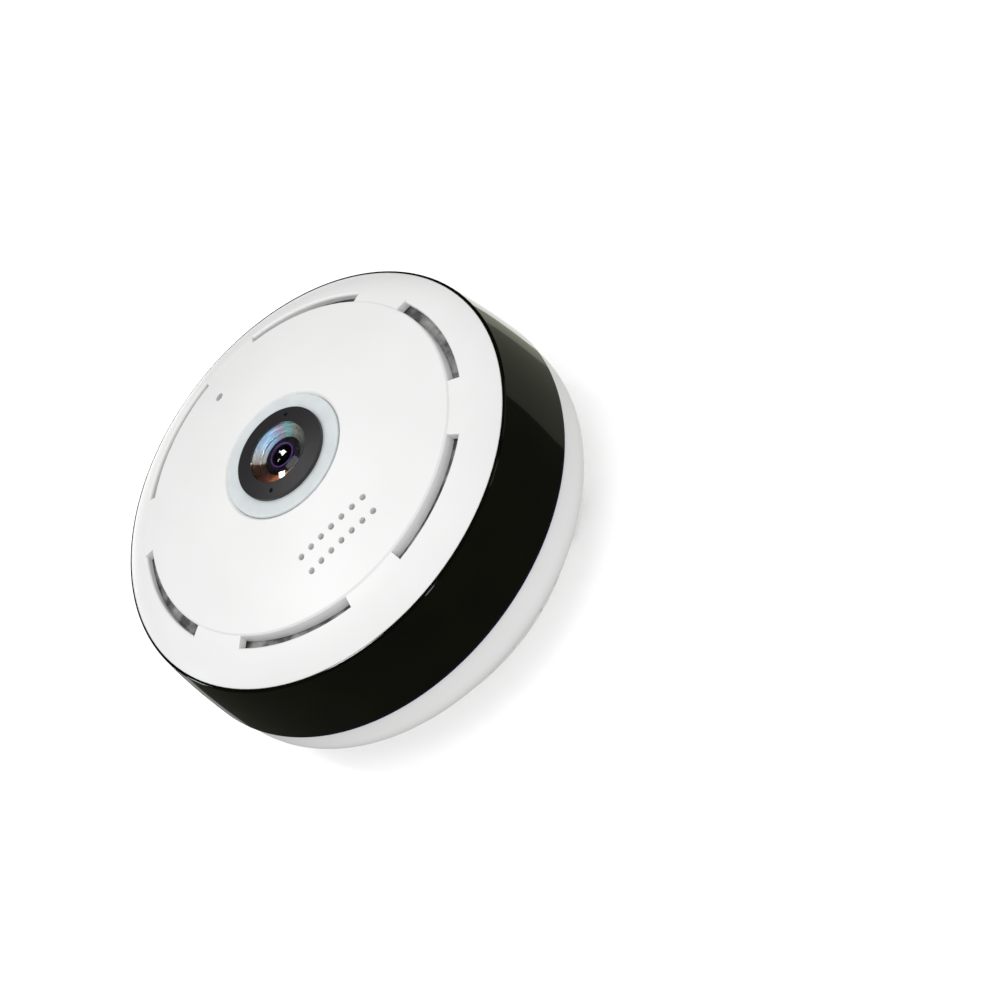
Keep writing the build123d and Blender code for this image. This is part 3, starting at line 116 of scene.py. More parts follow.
class InnerLook(bpy.types.PropertyGroup):
    """Small parts inside."""

    part_length: FloatProperty(
        name="Part length", description="Length of a small part on a board",
        subtype="DISTANCE", unit="LENGTH", min=0.2 * MM, default=1.6 * MM,
    )
    part_width: FloatProperty(
        name="Part width", description="Width of a small part on a board",
        subtype="DISTANCE", unit="LENGTH", min=0.1 * MM, default=0.8 * MM,
    )
    part_height: FloatProperty(
        name="Part height", description="Height of a small part on a board",
        subtype="DISTANCE", unit="LENGTH", min=0.1 * MM, default=0.55 * MM,
    )
    wire: FloatProperty(
        name="Coil wire", description="Radius of the wire of the slide's coil",
        subtype="DISTANCE", unit="LENGTH", min=0.05 * MM, default=0.15 * MM,
    )
    lead_pitch: FloatProperty(
        name="Lead pitch", description="Distance between the leads of a connector",
        subtype="DISTANCE", unit="LENGTH", min=0.2 * MM, default=1.0 * MM,
    )
    roll: FloatProperty(
        name="Cone roll", description="Radius of the roll round the speaker's cone",
        subtype="DISTANCE", unit="LENGTH", min=0.1 * MM, default=0.38 * MM,
    )


class StudioLook(bpy.types.PropertyGroup):
    """Floor, lights and camera."""

    floor_side: FloatProperty(
        name="Floor side", description="Side of the square floor",
        subtype="DISTANCE", unit="LENGTH", min=0.1, default=8.0,
    )
    sky: FloatProperty(
        name="Sky strength", description="Strength of the even white surroundings",
        min=0, default=0.80,
    )
    focal_length: FloatProperty(
        name="Focal length", description="Focal length of the camera, in millimetres",
        min=10, default=180.0,
    )


# Node trees


def material(name):
    """A new material, its node tree and its Principled shader. A plain one gives up its name."""
    plain = bpy.data.materials.get(name)
    if plain:
        plain.name = name + "_plain"
    made = bpy.data.materials.new(name)
    made.use_nodes = True
    return made, made.node_tree, made.node_tree.nodes["Principled BSDF"]


def node(tree, kind, inputs=None, **settings):
    """A new node. A value of inputs that is a socket is linked, and any other is set."""
    made = tree.nodes.new(kind)
    for name, value in settings.items():
        setattr(made, name, value)
    for name, value in (inputs or {}).items():
        if isinstance(value, bpy.types.NodeSocket):
            tree.links.new(value, made.inputs[name])
        else:
            made.inputs[name].default_value = value
    return made


def place(tree):
    """The point on the object, in metres."""
    return node(tree, "ShaderNodeTexCoord").outputs["Object"]


def noise(tree, point, size, detail=2.0, roughness=0.5):
    """Noise with bumps of a given size in metres."""
    inputs = {"Vector": point, "Scale": 1 / size, "Detail": detail, "Roughness": roughness}
    return node(tree, "ShaderNodeTexNoise", inputs).outputs["Fac"]


def ramp(tree, factor, *stops, interpolation="LINEAR"):
    """A colour ramp with stops given as (place, colour)."""
    made = node(tree, "ShaderNodeValToRGB", {"Fac": factor})
    made.color_ramp.interpolation = interpolation
    elements = made.color_ramp.elements
    while len(elements) < len(stops):
        elements.new(1.0)
    for element, (position, colour) in zip(elements, stops):
        element.position = position
        element.color = (*colour[:3], 1)
    return made.outputs["Color"]


def spread(tree, factor, low, high):
    """A factor from 0 to 1, spread over another range."""
    inputs = {"Value": factor, "To Min": low, "To Max": high}
    return node(tree, "ShaderNodeMapRange", inputs).outputs["Result"]


def bump(tree, height, distance, normal=None):
    """The normal of a rough surface, whose relief is so many metres high."""
    inputs = {"Height": height, "Distance": distance, "Strength": 1.0}
    if normal:
        inputs["Normal"] = normal
    return node(tree, "ShaderNodeBump", inputs).outputs["Normal"]


def soft_edges(tree, radius):
    """The normal of a surface whose edges are rounded."""
    return node(tree, "ShaderNodeBevel", {"Radius": radius}, samples=6).outputs["Normal"]


def settle(shader, **values):
    """Sets sockets of a shader. An underscore in a name stands for a space."""
    for name, value in values.items():
        shader.inputs[name.replace("_", " ")].default_value = value


# Finishes, one function for each slot of the record


def moulded(name, colour, roughness, grain, relief, edge, drift=0.03):
    """Moulded plastic: fine grain, slow waves in its gloss and colour, soft edges."""
    made, tree, shader = material(name)
    point = place(tree)
    fine = noise(tree, point, grain, 3.0)
    slow = noise(tree, point, 60 * grain)
    dark = [channel * (1 - drift) for channel in colour[:3]]
    tree.links.new(ramp(tree, slow, (0.3, dark), (0.7, colour)), shader.inputs["Base Color"])
    tree.links.new(
        spread(tree, slow, roughness * 0.9, roughness * 1.1), shader.inputs["Roughness"]
    )
    tree.links.new(
        bump(tree, fine, relief, soft_edges(tree, edge)), shader.inputs["Normal"]
    )
    return made


def white_plastic():
    """Satin white plastic of the cover, the housing and the mounting plate."""
    look = bpy.context.scene.camera_shell
    return moulded(
        "white_plastic", look.white, look.white_roughness, look.grain, 0.0012 * MM, look.soft_edge
    )


def band_plastic():
    """Gloss plastic of the side band, black to the eye, with a navy cut edge at its foot."""
    look = bpy.context.scene.camera_shell
    made, tree, shader = material("band_plastic")
    point = place(tree)
    swirl = noise(tree, point, 14 * MM)
    haze = noise(tree, point, 1.2 * MM, 4.0)
    olive = [1.5 * look.band[0], 1.5 * look.band[1], 1.2 * look.band[2]]
    body = ramp(tree, swirl, (0.35, look.band), (0.7, olive))
    height = node(tree, "ShaderNodeSeparateXYZ", {"Vector": point}).outputs["Z"]
    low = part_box("side_band")[0].z
    cut_edge = node(
        tree, "ShaderNodeMapRange",
        {"Value": height, "From Min": low + 0.2 * MM, "From Max": low + 0.7 * MM,
         "To Min": 1.0, "To Max": 0.0},
    ).outputs["Result"]
    edged = node(
        tree, "ShaderNodeMix", {"Factor": cut_edge, "A": body, "B": (0.008, 0.008, 0.07, 1)},
        data_type="RGBA",
    )
    tree.links.new(edged.outputs["Result"], shader.inputs["Base Color"])
    tree.links.new(
        spread(tree, haze, 0.7 * look.band_roughness, 1.4 * look.band_roughness),
        shader.inputs["Roughness"],
    )
    settle(shader, IOR=1.5, Coat_Weight=0.4, Coat_Roughness=0.03)
    return made


def black_plastic():
    """Plain black plastic of inner mouldings."""
    return moulded("black_plastic", (0.018, 0.018, 0.02), 0.45, 0.3 * MM, 0.002 * MM, 0.1 * MM)


def bezel_plastic():
    """Satin black lens barrel with the fine rings that turning leaves."""
    made, tree, shader = material("bezel_plastic")
    point = place(tree)
    flat = node(tree, "ShaderNodeVectorMath", {0: point, 1: (1, 1, 0)}, operation="MULTIPLY")
    radius = node(tree, "ShaderNodeVectorMath", {0: flat.outputs[0]}, operation="LENGTH")
    rings = node(
        tree, "ShaderNodeMath", {0: radius.outputs["Value"], 1: 2 * math.pi / (0.22 * MM)},
        operation="MULTIPLY",
    )
    wave = node(tree, "ShaderNodeMath", {0: rings.outputs[0]}, operation="SINE")
    dust = noise(tree, point, 0.5 * MM, 4.0)
    tree.links.new(
        ramp(tree, dust, (0.3, (0.0200, 0.0196, 0.0215)), (0.75, (0.0225, 0.0220, 0.0240))),
        shader.inputs["Base Color"],
    )
    tree.links.new(spread(tree, dust, 0.36, 0.42), shader.inputs["Roughness"])
    tree.links.new(
        bump(tree, wave.outputs[0], 0.0008 * MM, soft_edges(tree, 0.15 * MM)),
        shader.inputs["Normal"],
    )
    return made


def frosted_plastic():
    """Milky plastic of the ring round the lens."""
    made, tree, shader = material("frosted_plastic")
    point = place(tree)
    cloud = noise(tree, point, 4 * MM)
    grain = noise(tree, point, 0.25 * MM, 3.0)
    tree.links.new(
        ramp(tree, cloud, (0.3, (0.595, 0.635, 0.64)), (0.7, (0.64, 0.68, 0.685))),
        shader.inputs["Base Color"],
    )
    tree.links.new(
        bump(tree, grain, 0.003 * MM, soft_edges(tree, 0.2 * MM)), shader.inputs["Normal"]
    )
    settle(shader, Roughness=0.42, Subsurface_Weight=0.35, Subsurface_Scale=1.2 * MM)
    shader.inputs["Subsurface Radius"].default_value = (1.0, 1.0, 1.0)
    return made


def glass(name, tint, film, coat, ior):
    """Coated glass with faint dust."""
    made, tree, shader = material(name)
    specks = noise(tree, place(tree), 0.8 * MM, 5.0)
    tree.links.new(
        ramp(tree, specks, (0.60, (0, 0, 0)), (0.85, (0.03, 0.03, 0.03))),
        shader.inputs["Roughness"],
    )
    settle(
        shader, Base_Color=(*tint, 1), IOR=ior, Transmission_Weight=1.0, Coat_Weight=coat,
        Coat_Roughness=0.0, Coat_IOR=1.55, Thin_Film_Thickness=film, Thin_Film_IOR=1.38,
    )
    return made


def lens_glass():
    """Front and inner lenses. They bend light little, so the cone with the painted reflection
    keeps its place.
    """
    return glass("lens_glass", (0.97, 0.99, 1.0), 0.0, 1.0, 1.10)


def filter_glass():
    """Small panes of the day and night slide."""
    return glass("filter_glass", (0.75, 0.93, 0.95), 320.0, 0.0, 1.52)


def circuit_board():
    """Green solder mask over copper tracks."""
    made, tree, shader = material("circuit_board")
    point = place(tree)
    tracks = node(
        tree, "ShaderNodeTexBrick",
        {"Vector": point, "Scale": 1 / (3 * MM), "Mortar Size": 0.06, "Mortar Smooth": 0.1,
         "Color1": (0, 0, 0, 1), "Color2": (0, 0, 0, 1), "Mortar": (1, 1, 1, 1)},
        offset=0.35, squash=0.6,
    ).outputs["Color"]
    weave = noise(tree, point, 0.6 * MM, 4.0)
    mask = ramp(tree, weave, (0.3, (0.006, 0.050, 0.022)), (0.7, (0.010, 0.075, 0.032)))
    traced = node(
        tree, "ShaderNodeMix",
        {"Factor": tracks, "A": mask, "B": (0.035, 0.13, 0.045, 1)}, data_type="RGBA",
    )
    tree.links.new(traced.outputs["Result"], shader.inputs["Base Color"])
    tree.links.new(bump(tree, tracks, 0.03 * MM), shader.inputs["Normal"])
    settle(shader, Roughness=0.35, Coat_Weight=0.3)
    return made


def chip_epoxy():
    """Matt black chip package."""
    return moulded("chip_epoxy", (0.022, 0.022, 0.024), 0.6, 0.12 * MM, 0.004 * MM, 0.08 * MM)


def connector_plastic():
    """Ivory plastic of the connectors."""
    return moulded("connector_plastic", (0.70, 0.66, 0.55), 0.45, 0.25 * MM, 0.002 * MM, 0.1 * MM)


def lamp_epoxy():
    """Smoked epoxy of the infrared lamps."""
    made, tree, shader = material("lamp_epoxy")
    cloud = noise(tree, place(tree), 1.5 * MM, 3.0)
    tree.links.new(
        ramp(tree, cloud, (0.3, (0.05, 0.03, 0.06)), (0.7, (0.09, 0.055, 0.10))),
        shader.inputs["Base Color"],
    )
    settle(shader, Roughness=0.08, IOR=1.54, Transmission_Weight=0.35)
    return made


def metal(name, colour, roughness, streak, relief):
    """Metal with brushed or cast marks of a given size."""
    made, tree, shader = material(name)
    point = place(tree)
    marks = noise(tree, point, streak, 5.0, 0.65)
    dull = [channel * 0.86 for channel in colour]
    tree.links.new(ramp(tree, marks, (0.3, dull), (0.75, colour)), shader.inputs["Base Color"])
    tree.links.new(
        spread(tree, marks, 0.8 * roughness, 1.25 * roughness), shader.inputs["Roughness"]
    )
    tree.links.new(
        bump(tree, marks, relief, soft_edges(tree, 0.08 * MM)), shader.inputs["Normal"]
    )
    settle(shader, Metallic=1.0)
    return made


def steel():
    """Zinc plated steel screws."""
    return metal("steel", (0.62, 0.62, 0.60), 0.32, 0.5 * MM, 0.004 * MM)


def shield_steel():
    """Tinned sheet of shields and sockets."""
    return metal("shield_steel", (0.70, 0.70, 0.68), 0.26, 0.9 * MM, 0.002 * MM)


def sink_aluminium():
    """Extruded aluminium heat sink."""
    return metal("sink_aluminium", (0.55, 0.56, 0.58), 0.45, 0.3 * MM, 0.004 * MM)


def can_aluminium():
    """Bright cans of the capacitors."""
    return metal("can_aluminium", (0.78, 0.79, 0.80), 0.22, 1.2 * MM, 0.001 * MM)


def coil_copper():
    """Enamelled copper wire."""
    return metal("coil_copper", (0.72, 0.30, 0.11), 0.25, 0.2 * MM, 0.01 * MM)


def magnet_steel():
    """Nickel plated magnets."""
    return metal("magnet_steel", (0.50, 0.49, 0.46), 0.30, 0.7 * MM, 0.002 * MM)


def soft_rubber():
    """Dark grey rubber of the microphone's boot."""
    return moulded("soft_rubber", (0.03, 0.03, 0.032), 0.7, 0.18 * MM, 0.006 * MM, 0.2 * MM)


def cone_paper():
    """Fibrous paper of the speaker's cone."""
    return moulded("cone_paper", (0.16, 0.155, 0.15), 0.85, 0.35 * MM, 0.03 * MM, 0.2 * MM, 0.25)


def gasket_foam():
    """Open foam of the speaker's gasket."""
    return moulded("gasket_foam", (0.05, 0.05, 0.05), 0.95, 0.4 * MM, 0.10 * MM, 0.1 * MM, 0.3)


def red_wire():
    """Red insulation."""
    return moulded("red_wire", (0.42, 0.01, 0.012), 0.4, 0.3 * MM, 0.004 * MM, 0.05 * MM)


def black_wire():
    """Black insulation."""
    return moulded("black_wire", (0.015, 0.015, 0.016), 0.4, 0.3 * MM, 0.004 * MM, 0.05 * MM)


def ribbon_plastic():
    """White ribbon with printed conductors along it."""
    made, tree, shader = material("ribbon_plastic")
    point = place(tree)
    across = node(tree, "ShaderNodeSeparateXYZ", {"Vector": point}).outputs["X"]
    turns = node(
        tree, "ShaderNodeMath", {0: across, 1: 2 * math.pi / (0.5 * MM)}, operation="MULTIPLY"
    )
    lines = node(tree, "ShaderNodeMath", {0: turns.outputs[0]}, operation="SINE").outputs[0]
    tree.links.new(
        ramp(tree, lines, (0.3, (0.72, 0.72, 0.70)), (0.7, (0.50, 0.50, 0.50))),
        shader.inputs["Base Color"],
    )
    tree.links.new(bump(tree, lines, 0.02 * MM), shader.inputs["Normal"])
    settle(shader, Roughness=0.35)
    return made


def antenna_film():
    """Copper on a black film."""
    made, tree, shader = material("antenna_film")
    point = place(tree)
    pads = node(
        tree, "ShaderNodeTexBrick",
        {"Vector": point, "Scale": 1 / (4 * MM), "Mortar Size": 0.12,
         "Color1": (0.02, 0.02, 0.022, 1), "Color2": (0.02, 0.02, 0.022, 1),
         "Mortar": (0.45, 0.22, 0.09, 1)},
    ).outputs["Color"]
    tree.links.new(pads, shader.inputs["Base Color"])
    settle(shader, Roughness=0.35, Metallic=0.3)
    return made


def painted_lens_reflection():
    """Thin cone round the inner lens with a painted reflection: colours that run round the axis
    stand in for the mirrored surroundings and a painted highlight, and the cone glows.
    """
    made, tree, shader = material("painted_lens_reflection")
    point = place(tree)
    axes = node(tree, "ShaderNodeSeparateXYZ", {"Vector": point})
    turn = node(
        tree, "ShaderNodeMath", {0: axes.outputs["Y"], 1: axes.outputs["X"]}, operation="ARCTAN2"
    ).outputs[0]
    share = node(
        tree, "ShaderNodeMapRange",
        {"Value": turn, "From Min": -math.pi, "From Max": math.pi},
    ).outputs["Result"]
    flat = node(tree, "ShaderNodeVectorMath", {0: point, 1: (1, 1, 0)}, operation="MULTIPLY")
    streaks = noise(tree, flat.outputs[0], 1.1 * MM, 3.0)
    around = node(
        tree, "ShaderNodeMath", {0: share, 1: spread(tree, streaks, -0.012, 0.012)},
        operation="ADD",
    ).outputs[0]
    # Painted reflection colours by azimuth: bright blues above, dark and brown below, and a white
    # painted highlight near -174 degrees
    lens_reflection_colours = (
        (-180, (0.30, 0.085, 0.030)), (-174, (0.75, 0.55, 0.42)),
        (-166, (0.50, 0.22, 0.10)), (-150, (0.030, 0.018, 0.014)),
        (-120, (0.020, 0.019, 0.020)), (-85, (0.045, 0.046, 0.040)),
        (-55, (0.11, 0.11, 0.088)), (-35, (0.17, 0.19, 0.17)), (-14, (0.16, 0.36, 0.35)),
        (2, (0.30, 0.24, 0.33)), (10, (0.26, 0.30, 0.40)), (30, (0.27, 0.45, 0.64)),
        (55, (0.36, 0.48, 0.62)), (75, (0.42, 0.44, 0.45)), (90, (0.34, 0.31, 0.29)),
        (97, (0.045, 0.022, 0.014)), (130, (0.030, 0.013, 0.009)),
        (152, (0.10, 0.028, 0.013)), (168, (0.36, 0.11, 0.035)), (180, (0.30, 0.085, 0.030)),
    )
    stops = [((angle + 180) / 360, colour) for angle, colour in lens_reflection_colours]
    # coat holds the painted reflection colour, used as both base colour and glow colour
    coat = ramp(tree, around, *stops)
    tree.links.new(coat, shader.inputs["Base Color"])
    tree.links.new(coat, shader.inputs["Emission Color"])
    tree.links.new(spread(tree, streaks, 0.22, 0.36), shader.inputs["Roughness"])
    # Emission makes the cone glow, standing in for light reflected to it through the glass
    settle(shader, Emission_Strength=0.82, Metallic=0.4)
    return made


def painted_violet_reflection():
    """Painted violet glint along the stop, a reflection from the lens coating; the ring glows."""
    made, tree, shader = material("painted_violet_reflection")
    cloud = noise(tree, place(tree), 2.5 * MM)
    glint = ramp(tree, cloud, (0.35, (0.06, 0.018, 0.13)), (0.65, (0.14, 0.045, 0.29)))
    tree.links.new(glint, shader.inputs["Base Color"])
    tree.links.new(glint, shader.inputs["Emission Color"])
    # Emission makes the painted violet reflection glow
    settle(shader, Emission_Strength=0.8, Roughness=0.3)
    return made


def woven_screen():
    """Grey cloth of the dust screen under the arc slots, whose light patches are painted
    reflections seen through the slots.
    """
    made, tree, shader = material("woven_screen")
    point = place(tree)
    threads = node(
        tree, "ShaderNodeTexBrick",
        {"Vector": point, "Scale": 1 / (1.1 * MM), "Mortar Size": 0.10, "Mortar Smooth": 0.4,
         "Color1": (1, 1, 1, 1), "Color2": (0.7, 0.7, 0.7, 1), "Mortar": (0, 0, 0, 1)},
    ).outputs["Color"]
    # Dark cloth tone mixed with light patches, which are painted reflections
    tone_and_reflection_patches = noise(tree, point, 3.5 * MM, 3.0)
    tone = ramp(tree, tone_and_reflection_patches, (0.38, (0.13, 0.131, 0.135)), (0.62, (0.52, 0.52, 0.51)))
    shaded = node(
        tree, "ShaderNodeMix",
        {"Factor": spread(tree, threads, 0.35, 0.0), "A": tone, "B": (0.02, 0.02, 0.025, 1)},
        data_type="RGBA",
    )
    tree.links.new(shaded.outputs["Result"], shader.inputs["Base Color"])
    tree.links.new(bump(tree, threads, 0.05 * MM), shader.inputs["Normal"])
    settle(shader, Roughness=0.8)
    return made


FINISHES = {
    recipe.__name__: recipe
    for recipe in (
        white_plastic, band_plastic, black_plastic, bezel_plastic, frosted_plastic, lens_glass,
        filter_glass, circuit_board, chip_epoxy, connector_plastic, lamp_epoxy, steel,
        shield_steel, sink_aluminium, coil_copper, magnet_steel, soft_rubber, cone_paper,
        gasket_foam, red_wire, black_wire, ribbon_plastic, antenna_film, can_aluminium,
    )
}
finished = {}


def finish(slot):
    """The material of a slot, made the first time that it is wanted."""
    if slot not in finished:
        finished[slot] = FINISHES[slot]()
    return finished[slot]


def dress(*names):
    """Gives CAD nodes the finish of their slots."""
    for name in names:
        mesh = nodes[name].data
        mesh.materials.clear()
        mesh.materials.append(finish(slot_of[name]))


# Meshes


def new_piece(name, mesh, slot):
    """A piece that rides on the camera's head. A mesh without a material takes the slot's."""
    piece = bpy.data.objects.new(name, mesh)
    bpy.context.scene.collection.objects.link(piece)
    if not mesh.materials:
        mesh.materials.append(finish(slot))
    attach(piece, HEAD)


def shaped(name, build, smooth=True):
    """A mesh that a function builds."""
    mesh = bpy.data.meshes.new(name)
    shape = bmesh.new()
    build(shape)
    bmesh.ops.recalc_face_normals(shape, faces=shape.faces)
    shape.to_mesh(mesh)
    shape.free()
    mesh.polygons.foreach_set("use_smooth", [smooth] * len(mesh.polygons))
    return mesh


def skin(shape, rings, closed=False, slots=None):
    """Joins rings of corners with faces, and closes the ends of an open row."""
    pairs = list(zip(rings, rings[1:]))
    if closed:
        pairs.append((rings[-1], rings[0]))
    else:
        shape.faces.new(rings[0])
        shape.faces.new(rings[-1])
    for index, (low, high) in enumerate(pairs):
        for corner in range(len(low)):
            after = (corner + 1) % len(low)
            face = shape.faces.new((low[corner], low[after], high[after], high[corner]))
            face.material_index = slots[index] if slots else 0


def lathe(name, outline, steps=128):
    """A mesh turned about the optical axis from a closed outline of (radius, height) points."""
    turns = [math.tau * step / steps for step in range(steps)]

    def build(shape):
        rings = [
            [shape.verts.new((radius * math.cos(turn), radius * math.sin(turn), height))
             for turn in turns]
            for radius, height in outline
        ]
        skin(shape, rings, closed=True)

    return shaped(name, build)


def sweep(shape, path, section, ups, closed=False):
    """Sweeps a section of (side, up) corners along a path. The ups give its upward direction."""
    rings = []
    for index, point in enumerate(path):
        before = path[index - 1] if index or closed else point
        after = path[(index + 1) % len(path)] if index < len(path) - 1 or closed else point
        along = (after - before).normalized()
        side = along.cross(ups[index]).normalized()
        up = side.cross(along)
        rings.append([shape.verts.new(point + a * side + b * up) for a, b in section])
    skin(shape, rings, closed)


def round_section(radius, corners):
    """A round section, which starts at its side and turns upwards."""
    turns = (math.tau * corner / corners for corner in range(corners))
    return [(radius * math.cos(turn), radius * math.sin(turn)) for turn in turns]


def bent_strips(name, starts, line, width, thickness):
    """Tinned strips. Each starts at (x, y, z, way) and follows a line of (y, way * z) in mm."""
    side, up = width / 2, thickness / 2
    section = [(-side, -up), (side, -up), (side, up), (-side, up)]

    def build(shape):
        for x, y, z, way in starts:
            path = [Vector((x, y + along * MM, z + way * rise * MM)) for along, rise in line]
            sweep(shape, path, section, [Vector((0, 0, 1))] * len(path))

    new_piece(name, shaped(name, build, smooth=False), "shield_steel")


# Rows along a small part, as shares of its length and of its full width and height
PART_ROWS = (
    (-0.5, 0.9), (-0.46, 1), (-0.27, 1), (-0.27, 0.9),
    (0.27, 0.9), (0.27, 1), (0.46, 1), (0.5, 0.9),
)
PART_ROW_FINISHES = (1, 1, 1, 0, 1, 1, 1)    # 0 is the body and 1 is tin


def board_part(shape, centre, turn, look):
    """A chip resistor or capacitor: a body between two wider tinned ends."""
    along = Vector((math.cos(turn), math.sin(turn), 0))
    across = Vector((-along.y, along.x, 0))
    nip = 0.12 * look.part_height
    rings = []
    for share, fullness in PART_ROWS:
        half, top = look.part_width / 2 * fullness, look.part_height * fullness
        corners = (
            (-half, 0), (half, 0), (half, top - nip), (half - nip, top), (nip - half, top),
            (-half, top - nip),
        )
        spot = centre + along * share * look.part_length
        rings.append([shape.verts.new(spot + a * across + Vector((0, 0, b))) for a, b in corners])
    skin(shape, rings, slots=PART_ROW_FINISHES)


def fitted_board(name, height, places):
    """The small parts of a board, each at (x, y, turn in degrees), in millimetres."""
    look = bpy.context.scene.camera_inner

    def build(shape):
        for x, y, turn in places:
            board_part(shape, Vector((x * MM, y * MM, height)), math.radians(turn), look)

    mesh = shaped(name, build, smooth=False)
    for slot in ("chip_epoxy", "shield_steel"):
        mesh.materials.append(finish(slot))
    new_piece(name, mesh, "chip_epoxy")


# Stage


def card(name, width, height, place_at, target, glow, colour=(1, 1, 1)):
    """A flat lamp that faces a point. Its glow is 1 where it looks as bright as white paper."""
    light = bpy.data.lights.new(name, "AREA")
    light.shape = "RECTANGLE"
    light.size = width
    light.size_y = height
    light.energy = glow * math.pi * width * height
    light.color = colour
    lamp = bpy.data.objects.new(name, light)
    lamp.location = place_at
    lamp.rotation_euler = (Vector(target) - Vector(place_at)).to_track_quat("-Z", "Y").to_euler()
    lamp.visible_camera = False
    bpy.context.scene.collection.objects.link(lamp)
    return lamp


def round_point(azimuth, elevation, distance, centre):
    """A point at an azimuth and an elevation from a centre, in degrees."""
    turn, lift = math.radians(azimuth), math.radians(elevation)
    flat = distance * math.cos(lift)
    return (
        centre[0] + flat * math.cos(turn),
        centre[1] + flat * math.sin(turn),
        centre[2] + distance * math.sin(lift),
    )


# Where lights and cards aim, in metres
CENTRE = (0, 0, 0.03)

# Upright strips that the side band mirrors: azimuth in degrees, width in metres, and glow
STRIPS = ((215, 0.10, 3.0), (97, 0.16, 4.0), (271, 0.22, 0.5), (300, 0.5, 0.25))
STRIP_LEVEL = 0.15
STRIP_WHITE = (0.90, 0.96, 1.0)

# Colours of the cards below the part, which the side band mirrors from above
OLIVE = (0.95, 1.0, 0.78)
PALE = (0.99, 1.0, 0.97)


class DOMECAM_OT_stage(bpy.types.Operator):
    """Make the floor, the lights and the camera."""

    bl_idname = "domecam.stage"
    bl_label = "Floor, lights and camera"

    def execute(self, context):
        look = context.scene.camera_studio
        self.make_floor(look)
        self.make_sky(look)
        self.make_cards()
        self.make_camera(look)
        context.scene.view_settings.view_transform = "Standard"
        return {"FINISHED"}

    def make_floor(self, look):
        """A pale floor a hair below the mounting plate."""
        half = look.floor_side / 2
        mesh = bpy.data.meshes.new("floor")
        gap = 0.02 * MM
        sides = ((-half, -half), (half, -half), (half, half), (-half, half))
        mesh.from_pydata([(x, y, -gap) for x, y in sides], [], [(0, 1, 2, 3)])
        made, tree, shader = material("floor_paper")
        fibre = noise(tree, place(tree), 1.5 * MM, 4.0)
        tree.links.new(
            ramp(tree, fibre, (0.3, (0.93, 0.93, 0.93)), (0.7, (0.95, 0.95, 0.95))),
            shader.inputs["Base Color"],
        )
        settle(shader, Roughness=0.9, Specular_IOR_Level=0.0, Emission_Strength=0.2)
        mesh.materials.append(made)
        floor = bpy.data.objects.new("floor", mesh)
        bpy.context.scene.collection.objects.link(floor)
        floor.visible_glossy = False
        floor.visible_diffuse = False

    def make_sky(self, look):
        """Even white surroundings, which gloss and glass don't mirror."""
        world = bpy.data.worlds.new("studio")
        world.use_nodes = True
        background = world.node_tree.nodes["Background"]
        background.inputs["Color"].default_value = (1, 1, 1, 1)
        background.inputs["Strength"].default_value = look.sky
        world.cycles_visibility.glossy = False
        world.cycles_visibility.transmission = False
        bpy.context.scene.world = world

    def make_cards(self):
        """A soft box, two lamps that glint in the lens, strips for the band, cards below it."""
        front_box = card("front_box", 1.2, 1.2, round_point(222, 60, 1.6, CENTRE), CENTRE, 1.7)
        front_box.visible_glossy = False
        card("side_lamp", 0.16, 0.20, round_point(80, 65.5, 1.5, CENTRE), CENTRE, 25.0)
        card("back_lamp", 0.12, 0.16, round_point(39.6, 55.5, 1.5, CENTRE), CENTRE, 20.0)
        aim = (0, 0, STRIP_LEVEL)
        for azimuth, width, glow in STRIPS:
            card("strip", width, 0.5, round_point(azimuth, 0, 1.1, aim), aim, glow, STRIP_WHITE)
        card("low_wide", 4.0, 4.0, (0, 0, -0.7), (0, 0, 0), 0.04, OLIVE)
        card("low_side", 0.6, 0.6, (0.40, -0.15, -0.48), CENTRE, 0.15, OLIVE)
        card("low_end", 0.35, 0.45, (0.45, 0.25, -0.47), CENTRE, 1.05, PALE)
        card("low_mid", 0.16, 0.45, (0.50, 0.05, -0.50), CENTRE, 0.22, OLIVE)
        card("low_far", 0.8, 0.18, round_point(50, -25, 0.7, CENTRE), CENTRE, 1.5, PALE)
        card("low_rim", 0.5, 0.35, round_point(63, -14, 0.7, CENTRE), CENTRE, 1.1, PALE)
        card("low_left", 0.10, 0.35, round_point(66, -42, 0.7, CENTRE), CENTRE, 0.30)

    def make_camera(self, look):
        """A long lens, placed and turned as the photograph's outlines of the part ask."""
        data = bpy.data.cameras.new("photo_view")
        data.lens = look.focal_length
        data.sensor_width = 36
        camera = bpy.data.objects.new("photo_view", data)
        right = Vector((0.00737, -0.81357, -0.58142))
        up = Vector((0.83976, -0.31064, 0.44531))
        backward = Vector((-0.5429, -0.49153, 0.68092))
        turn = Matrix((right, up, backward)).transposed().to_4x4()
        camera.matrix_world = Matrix.Translation((-0.617098, -0.587978, 0.786866)) @ turn
        bpy.context.scene.collection.objects.link(camera)
        bpy.context.scene.camera = camera


class DOMECAM_OT_shells(bpy.types.Operator):
    """Finish the cover, the housing, the mounting plate and the side band."""

    bl_idname = "domecam.shells"
    bl_label = "Shells and band"

    def execute(self, context):
        dress("top_cover", "lower_housing", "mounting_plate", "side_band", "reset_button")
        return {"FINISHED"}


